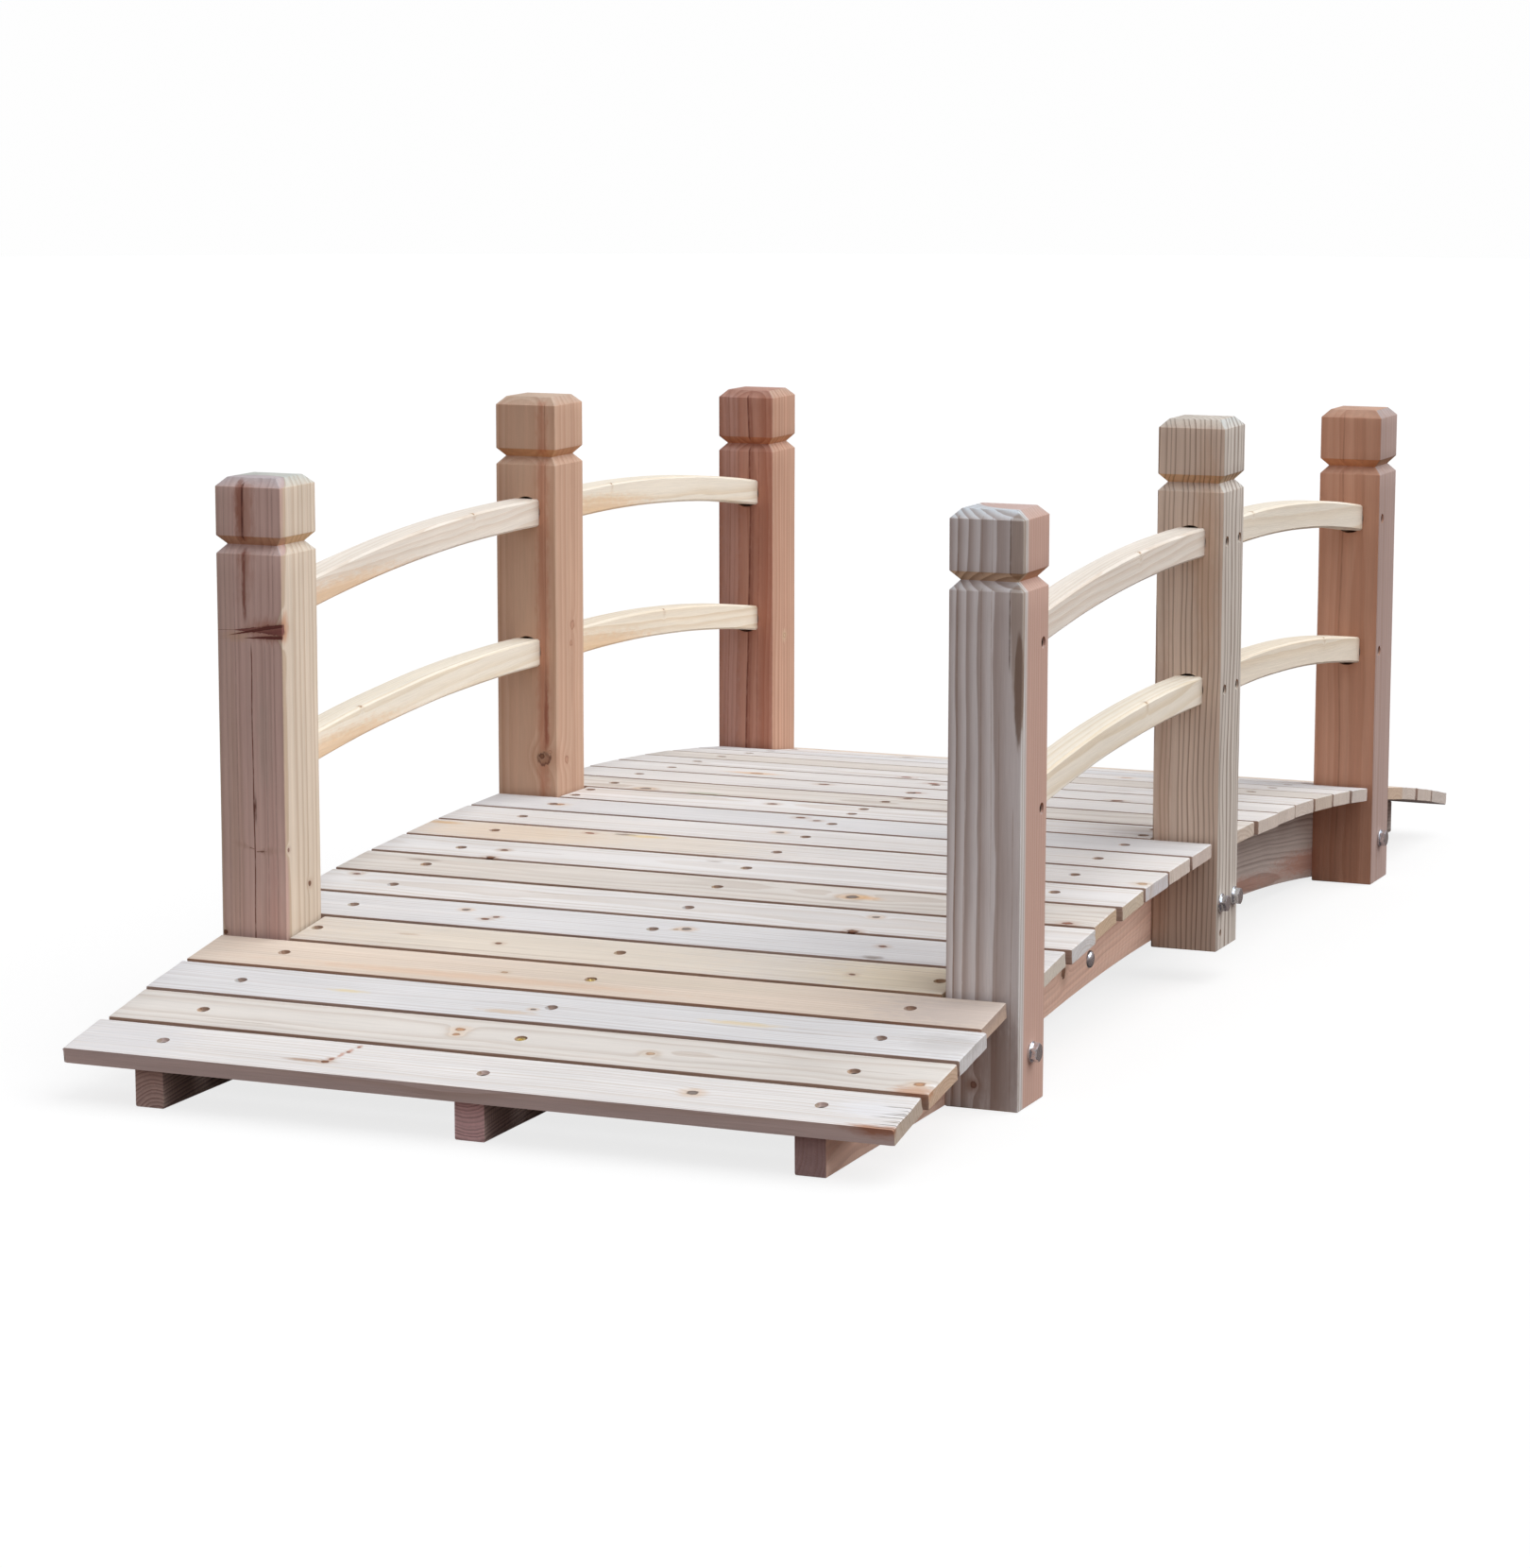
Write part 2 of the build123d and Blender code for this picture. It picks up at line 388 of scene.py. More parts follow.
def smearGroup():
    # a soft patch with a ragged edge, 1 at its middle
    takes = {"vectors": ("Point", "Ragged", "Centre", "Size"), "numbers": ("Raggedness", "Firm")}
    group, given, result = newGroup("woodSmear", takes, {"numbers": ("Amount",)})
    offset = vectorMaths(group, "SUBTRACT", given["Point"], given["Centre"])
    share = vectorMaths(group, "DIVIDE", offset, given["Size"])
    torn = vectorMaths(group, "SCALE", given["Ragged"], given["Raggedness"])
    share = vectorMaths(group, "LENGTH", vectorMaths(group, "ADD", share, torn))
    plug(group, result["Amount"], fadeOut(group, share, given["Firm"], 1.1))
    return group


streakLine = {
    "flatten": (1.0, 0.3, 0.0),   # it reaches deeper into the wood than it is wide
    "core": 0.2,
    "fade": 14.0,                 # length over which its ends fade, in mm
    "breaks": (-0.2, 0.06, 0.55),
}


def streakGroup():
    # a thin line along the grain that bends with it, and fades in and out between two ends
    takes = {"vectors": ("Point", "Drift", "Ragged", "Place"),
             "numbers": ("Width", "From", "To", "Wobble")}
    group, given, result = newGroup("grainStreak", takes, {"numbers": ("Amount",)})
    bend = vectorMaths(group, "SCALE", given["Drift"], given["Wobble"])
    moved = vectorMaths(group, "ADD", given["Point"], bend)
    offset = vectorMaths(group, "SUBTRACT", moved, given["Place"])
    offset = vectorMaths(group, "MULTIPLY", offset, streakLine["flatten"])
    share = maths(group, "DIVIDE", vectorMaths(group, "LENGTH", offset), given["Width"])
    line = fadeOut(group, share, streakLine["core"], 1.0)
    split = addNode(group, "ShaderNodeSeparateXYZ", {"Vector": given["Point"]})
    before = maths(group, "SUBTRACT", split.outputs["Z"], given["From"])
    after = maths(group, "SUBTRACT", given["To"], split.outputs["Z"])
    reach = smoothStep(group, maths(group, "MINIMUM", before, after), 0.0, streakLine["fade"])
    broken = addNode(group, "ShaderNodeSeparateXYZ", {"Vector": given["Ragged"]})
    broken = smoothStep(group, broken.outputs["X"], *streakLine["breaks"], 1.0)
    amount = maths(group, "MULTIPLY", maths(group, "MULTIPLY", line, reach), broken)
    plug(group, result["Amount"], amount)
    return group


woodGroups = {
    "rings": ringGroup(),
    "fibres": fibreGroup(),
    "knot": knotGroup(),
    "smear": smearGroup(),
    "streak": streakGroup(),
}

knotKinds = {
    "orange": {"inside": tone(190, 146, 110), "rim": tone(150, 106, 78), "halo": tone(216, 184, 150)},
    "brown": {"inside": tone(132, 92, 70), "rim": tone(92, 60, 46), "halo": tone(184, 150, 124)},
    "grey": {"inside": tone(132, 120, 112), "rim": tone(100, 84, 74), "halo": tone(206, 160, 108)},
    "red": {"inside": tone(150, 98, 78), "rim": tone(118, 70, 54), "halo": tone(190, 152, 130)},
    "tan": {"inside": tone(190, 160, 132), "rim": tone(166, 130, 102), "halo": tone(202, 178, 150)},
    "maroon": {"inside": tone(112, 62, 54), "rim": tone(66, 32, 32), "halo": tone(168, 116, 98)},
    "shadow": {"inside": tone(150, 118, 104), "rim": tone(126, 92, 80), "halo": tone(176, 142, 124)},
    "spike": {"inside": tone(134, 84, 78), "rim": tone(104, 56, 54), "halo": tone(190, 150, 134)},
    "swirl": {"inside": tone(164, 118, 94), "rim": tone(108, 72, 58), "halo": tone(182, 134, 106)},
    "faint": {"inside": tone(198, 154, 128), "rim": tone(170, 124, 98), "halo": tone(206, 166, 140)},
}

# which object axes are the two across the grain and the one along it
grainAxes = {"X": ("Y", "Z", "X"), "Y": ("X", "Z", "Y"), "Z": ("X", "Y", "Z")}


# what a look has when it doesn't say otherwise; places are (across, through, along) the grain
plainLook = {
    "contrast": 1.0,              # of the late lines
    "lateFrom": 0.25,             # share of a ring where its late line begins
    "wander": 9.0,
    "ringUneven": 1.0,
    "heart": None,                # (early, late, radius, edge) of the wood round the pith
    "knots": (),                  # (centre, direction, size, kind), and a taper for a spike
    "knotSquash": (1.0, 1.0, 1.0),
    "smears": (),                 # (centre, half sizes, colour, strength), and "crisp" for a firm edge
    "streaks": (),                # (place, width, (from, to), wobble, colour, strength)
    "endTint": (0.84, 0.78, 0.74),
    "faceTints": (),              # (direction, tint)
    "unevenness": 1.0,
    "sawn": 0.0,                  # distance between saw lines
    "relief": 0.6,
    "tilt": 0.0,                  # angle of the grain about X
}
timber = {
    "shades": {"Streak": 0.30, "Patch": 0.24, "Fine": 0.24},     # how far each darkens and lightens
    "haloStrength": 0.4,
    "rimStrength": 0.85,
    "softSmear": (0.9, 0.25),     # raggedness, and the share that is at full strength
    "crispSmear": (0.22, 0.82),
    "endGrain": (0.55, 0.8),      # how squarely a face looks along the grain
    "tintedFace": (0.4, 0.65),
    "bumpHeight": 0.0004,
    "roughness": 0.74,
    "lateGloss": 0.12,
    "fineGloss": 0.16,
    "specular": 0.25,
}


def addDetail(tree, kind, point, fibres, settings):
    # the rings, or a knot, smear or streak, fed with the wood's own point, drift and ragged noise
    node = addNode(tree, "ShaderNodeGroup", node_tree=woodGroups[kind])
    plug(tree, node.inputs["Point"], point)
    for label in ("Drift", "Ragged"):
        if label in node.inputs:
            plug(tree, node.inputs[label], fibres.outputs[label])
    for label, value in settings.items():
        node.inputs[label].default_value = value
    return node


def grainPoint(tree, coordinates, look):
    # the place on the wood as (across, through, along) the grain, in millimetres
    place = coordinates.outputs["Object"]
    if look["tilt"]:
        place = addNode(tree, "ShaderNodeVectorRotate", {"Vector": place, "Angle": -look["tilt"]},
                        rotation_type="X_AXIS")
    split = addNode(tree, "ShaderNodeSeparateXYZ", {"Vector": place})
    across, through, along = [split.outputs[axis] for axis in grainAxes[look["grain"]]]
    point = addNode(tree, "ShaderNodeCombineXYZ", {"X": across, "Y": through, "Z": along})
    return vectorMaths(tree, "SCALE", point, 1000.0), along


def tintFaces(tree, colour, coordinates, look):
    # end grain, then faces tinted by the way they look: painted shade on the planks' long edges and on faces
    # that look down, and a plain tint on a post's side
    normal = coordinates.outputs["Normal"]
    facing = addNode(tree, "ShaderNodeSeparateXYZ", {"Vector": normal})
    squarely = maths(tree, "ABSOLUTE", facing.outputs[look["grain"]])
    squarely = smoothStep(tree, squarely, *timber["endGrain"])
    endColour = blendColours(tree, 1.0, colour, look["endTint"], "MULTIPLY")
    colour = blendColours(tree, squarely, colour, endColour)
    for direction, tint in look["faceTints"]:
        towards = vectorMaths(tree, "DOT_PRODUCT", normal, direction)
        turned = blendColours(tree, 1.0, colour, tint, "MULTIPLY")
        colour = blendColours(tree, smoothStep(tree, towards, *timber["tintedFace"]), colour, turned)
    return colour


def woodMaterial(name, look, seed):
    # look gives grain, early, late, pith and ringWidth, and what differs from plainLook
    look = {**plainLook, **look}
    material, tree = emptyMaterial(name)
    rolls = random.Random(seed)
    shift = [rolls.uniform(-40, 40) for _ in range(3)]
    coordinates = addNode(tree, "ShaderNodeTexCoord")
    point, along = grainPoint(tree, coordinates, look)
    fibres = addNode(tree, "ShaderNodeGroup", node_tree=woodGroups["fibres"])
    plug(tree, fibres.inputs["Point"], point)
    fibres.inputs["Shift"].default_value = shift

    knots = []
    bulge = None
    for centre, direction, size, kind, *taper in look["knots"]:
        knot = addDetail(tree, "knot", point, fibres, {
            "Centre": centre, "Direction": Vector(direction).normalized(), "Size": size,
            "Taper": taper[0] if taper else 0.0, "Squash": look["knotSquash"]})
        knots.append((knot.outputs, knotKinds[kind]))
        swell = knot.outputs["Bulge"]
        bulge = maths(tree, "ADD", bulge, swell) if bulge else swell

    rings = addDetail(tree, "rings", point, fibres, {
        "Pith": (*look["pith"], 0.0), "Ring width": look["ringWidth"], "Wander": look["wander"],
        "Late from": look["lateFrom"], "Shift": shift, "Seed": float(seed), "Uneven": look["ringUneven"]})
    if bulge:
        plug(tree, rings.inputs["Bulge"], bulge)
    late = rings.outputs["Late"]
    contrast = maths(tree, "MULTIPLY", late, look["contrast"])
    colour = blendColours(tree, contrast, look["early"], look["late"])
    if look["heart"]:
        heartEarly, heartLate, radius, edge = look["heart"]
        inner = blendColours(tree, contrast, heartEarly, heartLate)
        share = fadeOut(tree, rings.outputs["Radius"], radius, radius + edge)
        colour = blendColours(tree, share, colour, inner)
    for centre, size, tint, strength, *crisp in look["smears"]:
        ragged, firm = timber["crispSmear" if crisp else "softSmear"]
        smear = addDetail(tree, "smear", point, fibres, {
            "Centre": centre, "Size": size, "Raggedness": ragged, "Firm": firm})
        colour = blendColours(tree, maths(tree, "MULTIPLY", smear, strength), colour, tint)
    for place, width, reach, wobble, tint, strength in look["streaks"]:
        line = addDetail(tree, "streak", point, fibres, {
            "Place": (*place, 0.0), "Width": width, "From": reach[0], "To": reach[1], "Wobble": wobble})
        colour = blendColours(tree, maths(tree, "MULTIPLY", line, strength), colour, tint)
    for knot, kind in knots:
        halo = maths(tree, "MULTIPLY", knot["Halo"], timber["haloStrength"])
        rim = maths(tree, "MULTIPLY", knot["Rim"], timber["rimStrength"])
        colour = blendColours(tree, halo, colour, kind["halo"])
        colour = blendColours(tree, knot["Inside"], colour, kind["inside"])
        colour = blendColours(tree, rim, colour, kind["rim"])
    colour = tintFaces(tree, colour, coordinates, look)

    shade = None
    for label, depth in timber["shades"].items():
        depth *= 1.0 if label == "Fine" else look["unevenness"]
        part = maths(tree, "MULTIPLY_ADD", fibres.outputs[label], depth, 1.0 - depth / 2)
        shade = maths(tree, "MULTIPLY", shade, part) if shade else part
    grey = addNode(tree, "ShaderNodeCombineXYZ", {"X": shade, "Y": shade, "Z": shade})
    colour = blendColours(tree, 1.0, colour, grey, "MULTIPLY")

    fine, streak, patch = [fibres.outputs[label] for label in ("Fine", "Streak", "Patch")]
    relief = maths(tree, "MULTIPLY_ADD", fine, 0.5, streak)
    if look["sawn"]:
        lines = maths(tree, "MULTIPLY", along, 2 * math.pi / look["sawn"] * 1000)
        lines = maths(tree, "MULTIPLY_ADD", patch, 14.0, lines)       # the blade wavers a little
        relief = maths(tree, "MULTIPLY_ADD", maths(tree, "SINE", lines), 0.35, relief)
    bump = addNode(tree, "ShaderNodeBump", {
        "Strength": look["relief"], "Distance": timber["bumpHeight"], "Height": relief})
    rough = maths(tree, "MULTIPLY_ADD", late, -timber["lateGloss"], timber["roughness"])
    fineRough = maths(tree, "MULTIPLY_ADD", fine, timber["fineGloss"], -timber["fineGloss"] / 2)
    shader = addNode(tree, "ShaderNodeBsdfPrincipled", {
        "Base Color": colour, "Roughness": maths(tree, "ADD", rough, fineRough), "Normal": bump,
        "Specular IOR Level": timber["specular"]})
    addNode(tree, "ShaderNodeOutputMaterial", {"Surface": shader})
    return material


plating = {
    "cloud": (0.45, 0.45, 0.45),  # one over the size of the dull patches, and of the specks
    "speck": (2.2, 2.2, 2.2),
    "cloudRange": (0.35, 0.75),
    "unevenGloss": 0.22,
    "relief": 0.35,
    "bumpHeight": 0.00008,
}


def metalMaterial(name, base, roughness, grime):
    material, tree = emptyMaterial(name)
    coordinates = addNode(tree, "ShaderNodeTexCoord")
    point = vectorMaths(tree, "SCALE", coordinates.outputs["Object"], 1000.0)
    cloud = noiseAt(tree, point, plating["cloud"], 3.0, 0.6)
    speck = noiseAt(tree, point, plating["speck"], 2.0, 0.5)
    colour = blendColours(tree, smoothStep(tree, cloud, *plating["cloudRange"]), base, grime)
    uneven = plating["unevenGloss"]
    rough = maths(tree, "MULTIPLY_ADD", cloud, uneven, roughness - uneven / 2)
    bump = addNode(tree, "ShaderNodeBump", {
        "Strength": plating["relief"], "Distance": plating["bumpHeight"], "Height": speck})
    shader = addNode(tree, "ShaderNodeBsdfPrincipled", {
        "Base Color": colour, "Roughness": rough, "Normal": bump, "Metallic": 1.0})
    addNode(tree, "ShaderNodeOutputMaterial", {"Surface": shader})
    return material


zinc = metalMaterial("zincPlate", (0.86, 0.89, 0.94), 0.24, (0.60, 0.64, 0.70))
# the screws' near-black brown is dull steel and painted shade of the recesses they sit in
dullSteelWithRecessShade = metalMaterial("dullScrewSteelRecessShade", (0.12, 0.095, 0.075), 0.5, (0.06, 0.045, 0.035))
brass = metalMaterial("yellowScrewPlate", (0.98, 0.82, 0.36), 0.28, (0.62, 0.44, 0.16))
# walls of the screw recesses, screw holes and rail sockets: dark torn fibres, made darker still as painted
# shade of the hollows
tornWoodAndRecessShade = woodMaterial("tornFibresAndRecessShade", {
    "grain": "X", "early": tone(92, 68, 52), "late": tone(56, 38, 28), "pith": (80.0, -60.0),
    "ringWidth": 2.0, "relief": 1.0,
}, 5)
print("materials: metal and torn wood, and the groups that the planks, posts and rails share")


def roundedSection(halfWide, halfHigh, radius, cornerSteps, sideSteps):
    # points round a rectangle with eased corners, counter-clockwise
    corners = [(1, 1), (-1, 1), (-1, -1), (1, -1)]

    def onCorner(index, angle):
        sideways, upwards = corners[index % 4]
        return (sideways * (halfWide - radius) + radius * math.cos(angle),
                upwards * (halfHigh - radius) + radius * math.sin(angle))

    section = []
    for index in range(4):
        for step in range(cornerSteps + 1):
            section.append(onCorner(index, math.pi / 2 * (index + step / cornerSteps)))
        last = section[-1]
        first = onCorner(index + 1, math.pi / 2 * (index + 1))
        for step in range(1, sideSteps):
            share = step / sideSteps
            section.append(tuple(a + (b - a) * share for a, b in zip(last, first)))
    return section


def loft(rings, shell=None, materialIndex=0):
    shell = shell or bmesh.new()
    loops = [[shell.verts.new(point) for point in ring] for ring in rings]
    faces = []
    for lower, upper in zip(loops, loops[1:]):
        for index in range(len(lower)):
            after = (index + 1) % len(lower)
            faces.append(shell.faces.new((lower[index], lower[after], upper[after], upper[index])))
    faces.append(shell.faces.new(reversed(loops[0])))
    faces.append(shell.faces.new(loops[-1]))
    for face in faces:
        face.material_index = materialIndex
    return shell


def finishMesh(name, shell):
    bmesh.ops.recalc_face_normals(shell, faces=shell.faces)
    mesh = bpy.data.meshes.new(name)
    shell.to_mesh(mesh)
    shell.free()
    return mesh


def turned(profile, place, steps=24, shell=None, materialIndex=0):
    # a round solid from (distance, radius) pairs along the Z of place
    rings = []
    for distance, radius in profile:
        ring = []
        for step in range(steps):
            angle = 2 * math.pi * step / steps
            ring.append(place @ Vector((radius * math.cos(angle), radius * math.sin(angle), distance)))
        rings.append(ring)
    return loft(rings, shell, materialIndex)


def pointing(place, direction):
    # a frame at place whose Z looks along direction
    forward = Vector(direction).normalized()
    side = Vector((0, 0, 1)).cross(forward)
    if side.length < 0.01:
        side = Vector((1, 0, 0))
    side.normalize()
    turn = Matrix((side, forward.cross(side), forward)).transposed().to_4x4()
    return Matrix.Translation(place) @ turn


def cutOut(mesh, cutter):
    # mesh less cutter; the cut faces keep the cutter's own material number
    body = bpy.data.objects.new("cutBody", mesh)
    tool = bpy.data.objects.new("cutTool", cutter)
    for thing in (body, tool):
        bpy.context.scene.collection.objects.link(thing)
    holes = body.modifiers.new("holes", "BOOLEAN")
    holes.operation = "DIFFERENCE"
    holes.solver = "EXACT"
    holes.object = tool
    graph = bpy.context.evaluated_depsgraph_get()
    result = bpy.data.meshes.new_from_object(body.evaluated_get(graph))
    for thing in (body, tool):
        bpy.data.objects.remove(thing)
    return result


def copies(name, mesh, places):
    shell = bmesh.new()
    for place in places:
        one = mesh.copy()
        one.transform(place)
        shell.from_mesh(one)
        bpy.data.meshes.remove(one)
    return finishMesh(name, shell)


sharpAngle = 32.0             # degrees; flatter edges are shaded smooth


def addPiece(name, mesh, materials, standsFor=(), place=None):
    mesh.name = name
    mesh.transform(Matrix.Scale(0.001, 4))
    mesh.materials.clear()
    for material in materials:
        mesh.materials.append(material)
    mesh.shade_smooth()
    mesh.set_sharp_from_angle(angle=math.radians(sharpAngle))
    piece = bpy.data.objects.new(name, mesh)
    bpy.context.scene.collection.objects.link(piece)
    if place is not None:
        shift = place.to_translation() * 0.001
        piece.matrix_world = Matrix.Translation(shift) @ place.to_3x3().to_4x4()
    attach(piece, "root")
    if standsFor:
        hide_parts(*standsFor)


noise.seed_set(11)            # noise vectors are the same at every run


def waver(point, size, amount, seed):
    # how far a point of a timber strays; size is the length of the waves
    return noise.noise_vector(Vector(point) / size + Vector((seed, seed * 0.7, -seed))) * amount


def plankFrame(number):
    # on the walking surface: X along the plank, Y along the walkway, Z up
    angle = (number - bridge["middlePlank"]) * bridge["pitch"] / bridge["deckRadius"]
    centre = bridge["crown"] - bridge["deckRadius"]
    place = (0, bridge["deckRadius"] * math.sin(angle), centre + bridge["deckRadius"] * math.cos(angle))
    return Matrix.Translation(place) @ Matrix.Rotation(-angle, 4, "X")


plankTints = {
    "pale": (tone(226, 221, 218), tone(206, 194, 183)),
    "cool": (tone(221, 218, 217), tone(203, 195, 191)),
    "pinkish": (tone(225, 208, 192), tone(206, 183, 162)),
    "dull": (tone(219, 211, 203), tone(196, 181, 168)),
}
plank = {
    "halfWidth": 27.5,
    "outerHalf": 27.3,            # to the outer edge of the first and the last plank
    "swollen": 28.2,              # the gaps of the photograph are a little narrower
    "thickness": 12.0,
    "ease": 0.6,
    "lengths": {"full": 660.0, "short": 544.0},
    "shortOnes": (5, 13, 21),
    "waves": (60, 0.25),          # length and depth of the waver of its edges
    "sawMarks": 3.2,
    "raggedEnd": 0.28,
    "raggedEnds": {1: 1.3, 3: 0.7},
    "endEase": (0.5, 1.6),        # how much an end thins, and over what length
    "endSlack": 3.6,              # how much an end may fall short
    "shortSlack": 0.4,            # the same for a plank between posts
    "rightSlack": {1: 3.6, 2: 0.4, 3: 0.4, 4: 6.5, 5: 1.0},
    "screwRows": (-261.0, 0.0, 261.0),
    "screwPair": 14.0,            # off the middle of the plank that lies over the joint
    "screwScatter": (3.0, 2.4),   # along and across
    "recess": 5.0,
    "recessDepth": 3.0,
    "brassScrews": ((2, 0.0), (4, 0.0)),
    "screwDrop": {"steel": 2.8, "brass": 0.7},
    "tints": "pale dull cool pinkish dull cool pale dull pale pale pale cool pale dull pale pale pale dull "
             "pale cool".split(),             # of planks 1 to 20; the others get one of anyTint
    "anyTint": ["pale", "cool", "pale", "dull", "pinkish"],
    "flatSawn": 0.45,             # share of the planks that are cut flat
    "knotGrowth": 1.3,
    "ringWidths": (2.2, 4.2),
    "wanders": (8, 20),
    "streakColour": tone(172, 150, 132),
    "tearColour": tone(92, 74, 62),
    "plainEnd": (0.85, 0.77, 0.70),
    "endTints": {1: (0.66, 0.57, 0.48), 2: (0.84, 0.66, 0.52), 3: (0.86, 0.86, 0.86), 4: (0.72, 0.64, 0.60),
                 5: (0.84, 0.76, 0.66), 6: (0.86, 0.80, 0.70), 7: (0.84, 0.86, 0.88), 8: (0.84, 0.68, 0.52),
                 9: (0.80, 0.70, 0.56), 10: (0.86, 0.86, 0.90), 12: (0.88, 0.76, 0.68)},
    "frontEdgeShadeTint": (1.0, 0.84, 0.80),       # painted warm shade on the front edge of the first plank, which faces away from the light
    # painted shade on the long edges of the planks, down in the gaps between them
    "gapShadeTint": (0.66, 0.50, 0.42),
    # knots: (across, along, size, kind), on the top of the plank
    "knots": {
        1: [(-7.4, -121, 1.6, "brown"), (0.4, 165, 2.6, "grey"), (22, -109, 0.7, "red"),
            (12, -112.5, 0.9, "red"), (-2, -119, 1.1, "red")],
        2: [(8.3, -50, 2.2, "orange"), (-1.4, -48.6, 1.8, "orange"), (-2.8, 107, 2.2, "tan"),
            (-12.1, 316.5, 2.4, "orange")],
        3: [(-5.2, -13.8, 1.3, "grey")],
        4: [(0.8, -69.8, 1.5, "tan")],
        5: [(-0.3, -104, 1.6, "brown"), (-1.8, 189.6, 1.6, "brown")],
        6: [(10.6, -168, 1.8, "grey"), (-8.4, -142, 1.9, "brown"), (-1.5, -135.5, 1.6, "brown"),
            (7.9, 24, 2.2, "grey"), (5.1, 187.7, 1.9, "brown"), (4.5, 16, 1.3, "tan")],
        7: [(19.4, -302, 1.9, "brown"), (14.3, 154.8, 1.9, "grey"), (-26, 151, 2.4, "brown")],
        8: [(2.3, 115, 3.2, "grey"), (-24, 304, 2.6, "red")],
        9: [(-0.3, -219, 2.0, "brown"), (-26, -219, 2.2, "brown")],
        10: [(17.3, -177, 2.0, "red"), (-14.8, 321, 2.6, "tan")],
        11: [(10.3, -26.5, 2.2, "grey")],
        12: [(-1.6, -255, 2.6, "orange"), (15.3, -35, 2.4, "brown"), (6.9, -17, 2.0, "brown")],
        13: [(8.6, -84, 2.4, "brown")],
        14: [(-20.4, -220, 3.0, "grey"), (23.6, 13, 2.4, "brown")],
        15: [(13.6, -88, 2.8, "brown"), (0.5, 6, 2.6, "red")],
        16: [(-3.7, -171, 3.4, "orange"), (9.0, -4, 2.8, "red"), (-24, 181, 3.0, "brown")],
        17: [(-17.3, -43.5, 3.0, "red")],
        19: [(4.0, 120, 3.0, "orange")],
        21: [(-9.0, -140, 3.0, "grey")],
        23: [(11.0, 60, 3.2, "brown")],
    },
    # smears: (across, along, half across, half along, colour, strength)
    "smears": {
        # on plank 1 the white patch near the right end is a painted highlight
        1: [(-8, -134, 3.5, 24, tone(166, 128, 100), 0.8), (-3, -119, 5, 3.0, tone(190, 132, 106), 0.7),
            (6, -115.5, 5.5, 2.6, tone(190, 134, 108), 0.7), (15, -112, 5, 2.6, tone(188, 132, 108), 0.65),
            (23, -108.5, 4, 2.4, tone(186, 132, 108), 0.6), (0, -290, 60, 70, tone(210, 206, 206), 0.6),
            (2, 300, 20, 34, tone(232, 230, 232), 0.6), (-27, 316, 7, 34, tone(176, 110, 62), 0.75)],
        2: [(-12, 324, 3, 7, tone(240, 238, 238), 0.9), (-24, 318, 12, 22, tone(190, 128, 78), 0.6)],
        # the grey patch at the right end of plank 3 is the painted shadow of the near right post
        3: [(-14, -32, 5, 30, tone(206, 176, 142), 0.6), (-2, -170, 4, 20, tone(224, 204, 158), 0.7),
            (4, 150, 5, 40, tone(224, 200, 148), 0.6), (0, 310, 26, 40, tone(186, 180, 176), 0.5)],
        # the grey patch at the right end of plank 4 is the painted shadow of the near right post
        4: [(-14, -90, 9, 200, tone(222, 188, 160), 0.6), (10, 60, 16, 150, tone(214, 200, 182), 0.5),
            (0, 300, 50, 90, tone(190, 176, 170), 0.6)],
        5: [(3.5, -184, 3.0, 14, tone(160, 120, 92), 0.8), (-4, -60, 60, 300, tone(222, 207, 188), 0.65),
            (0, 250, 60, 120, tone(228, 208, 174), 0.6)],
        6: [(-23, 190, 5, 12, tone(124, 104, 92), 0.7)],
        8: [(0, -160, 60, 200, tone(216, 206, 196), 0.4), (13, -269, 4, 20, tone(140, 120, 108), 0.7),
            (2, 122, 9, 22, tone(226, 172, 104), 0.6)],
        9: [(15, -35.5, 3, 10, tone(150, 128, 112), 0.6)],
        10: [(0, -250, 60, 130, tone(222, 192, 158), 0.55), (0, -110, 60, 150, tone(220, 200, 174), 0.4),
             (17, -314, 6, 22, tone(210, 164, 108), 0.7), (21, -147, 4, 14, tone(132, 112, 98), 0.8),
             (19, -126, 6, 22, tone(226, 196, 138), 0.7)],
        14: [(-25, -160, 7, 24, tone(168, 172, 148), 0.6)],
        16: [(-4, -176, 8, 36, tone(222, 168, 112), 0.6)],
    },
}


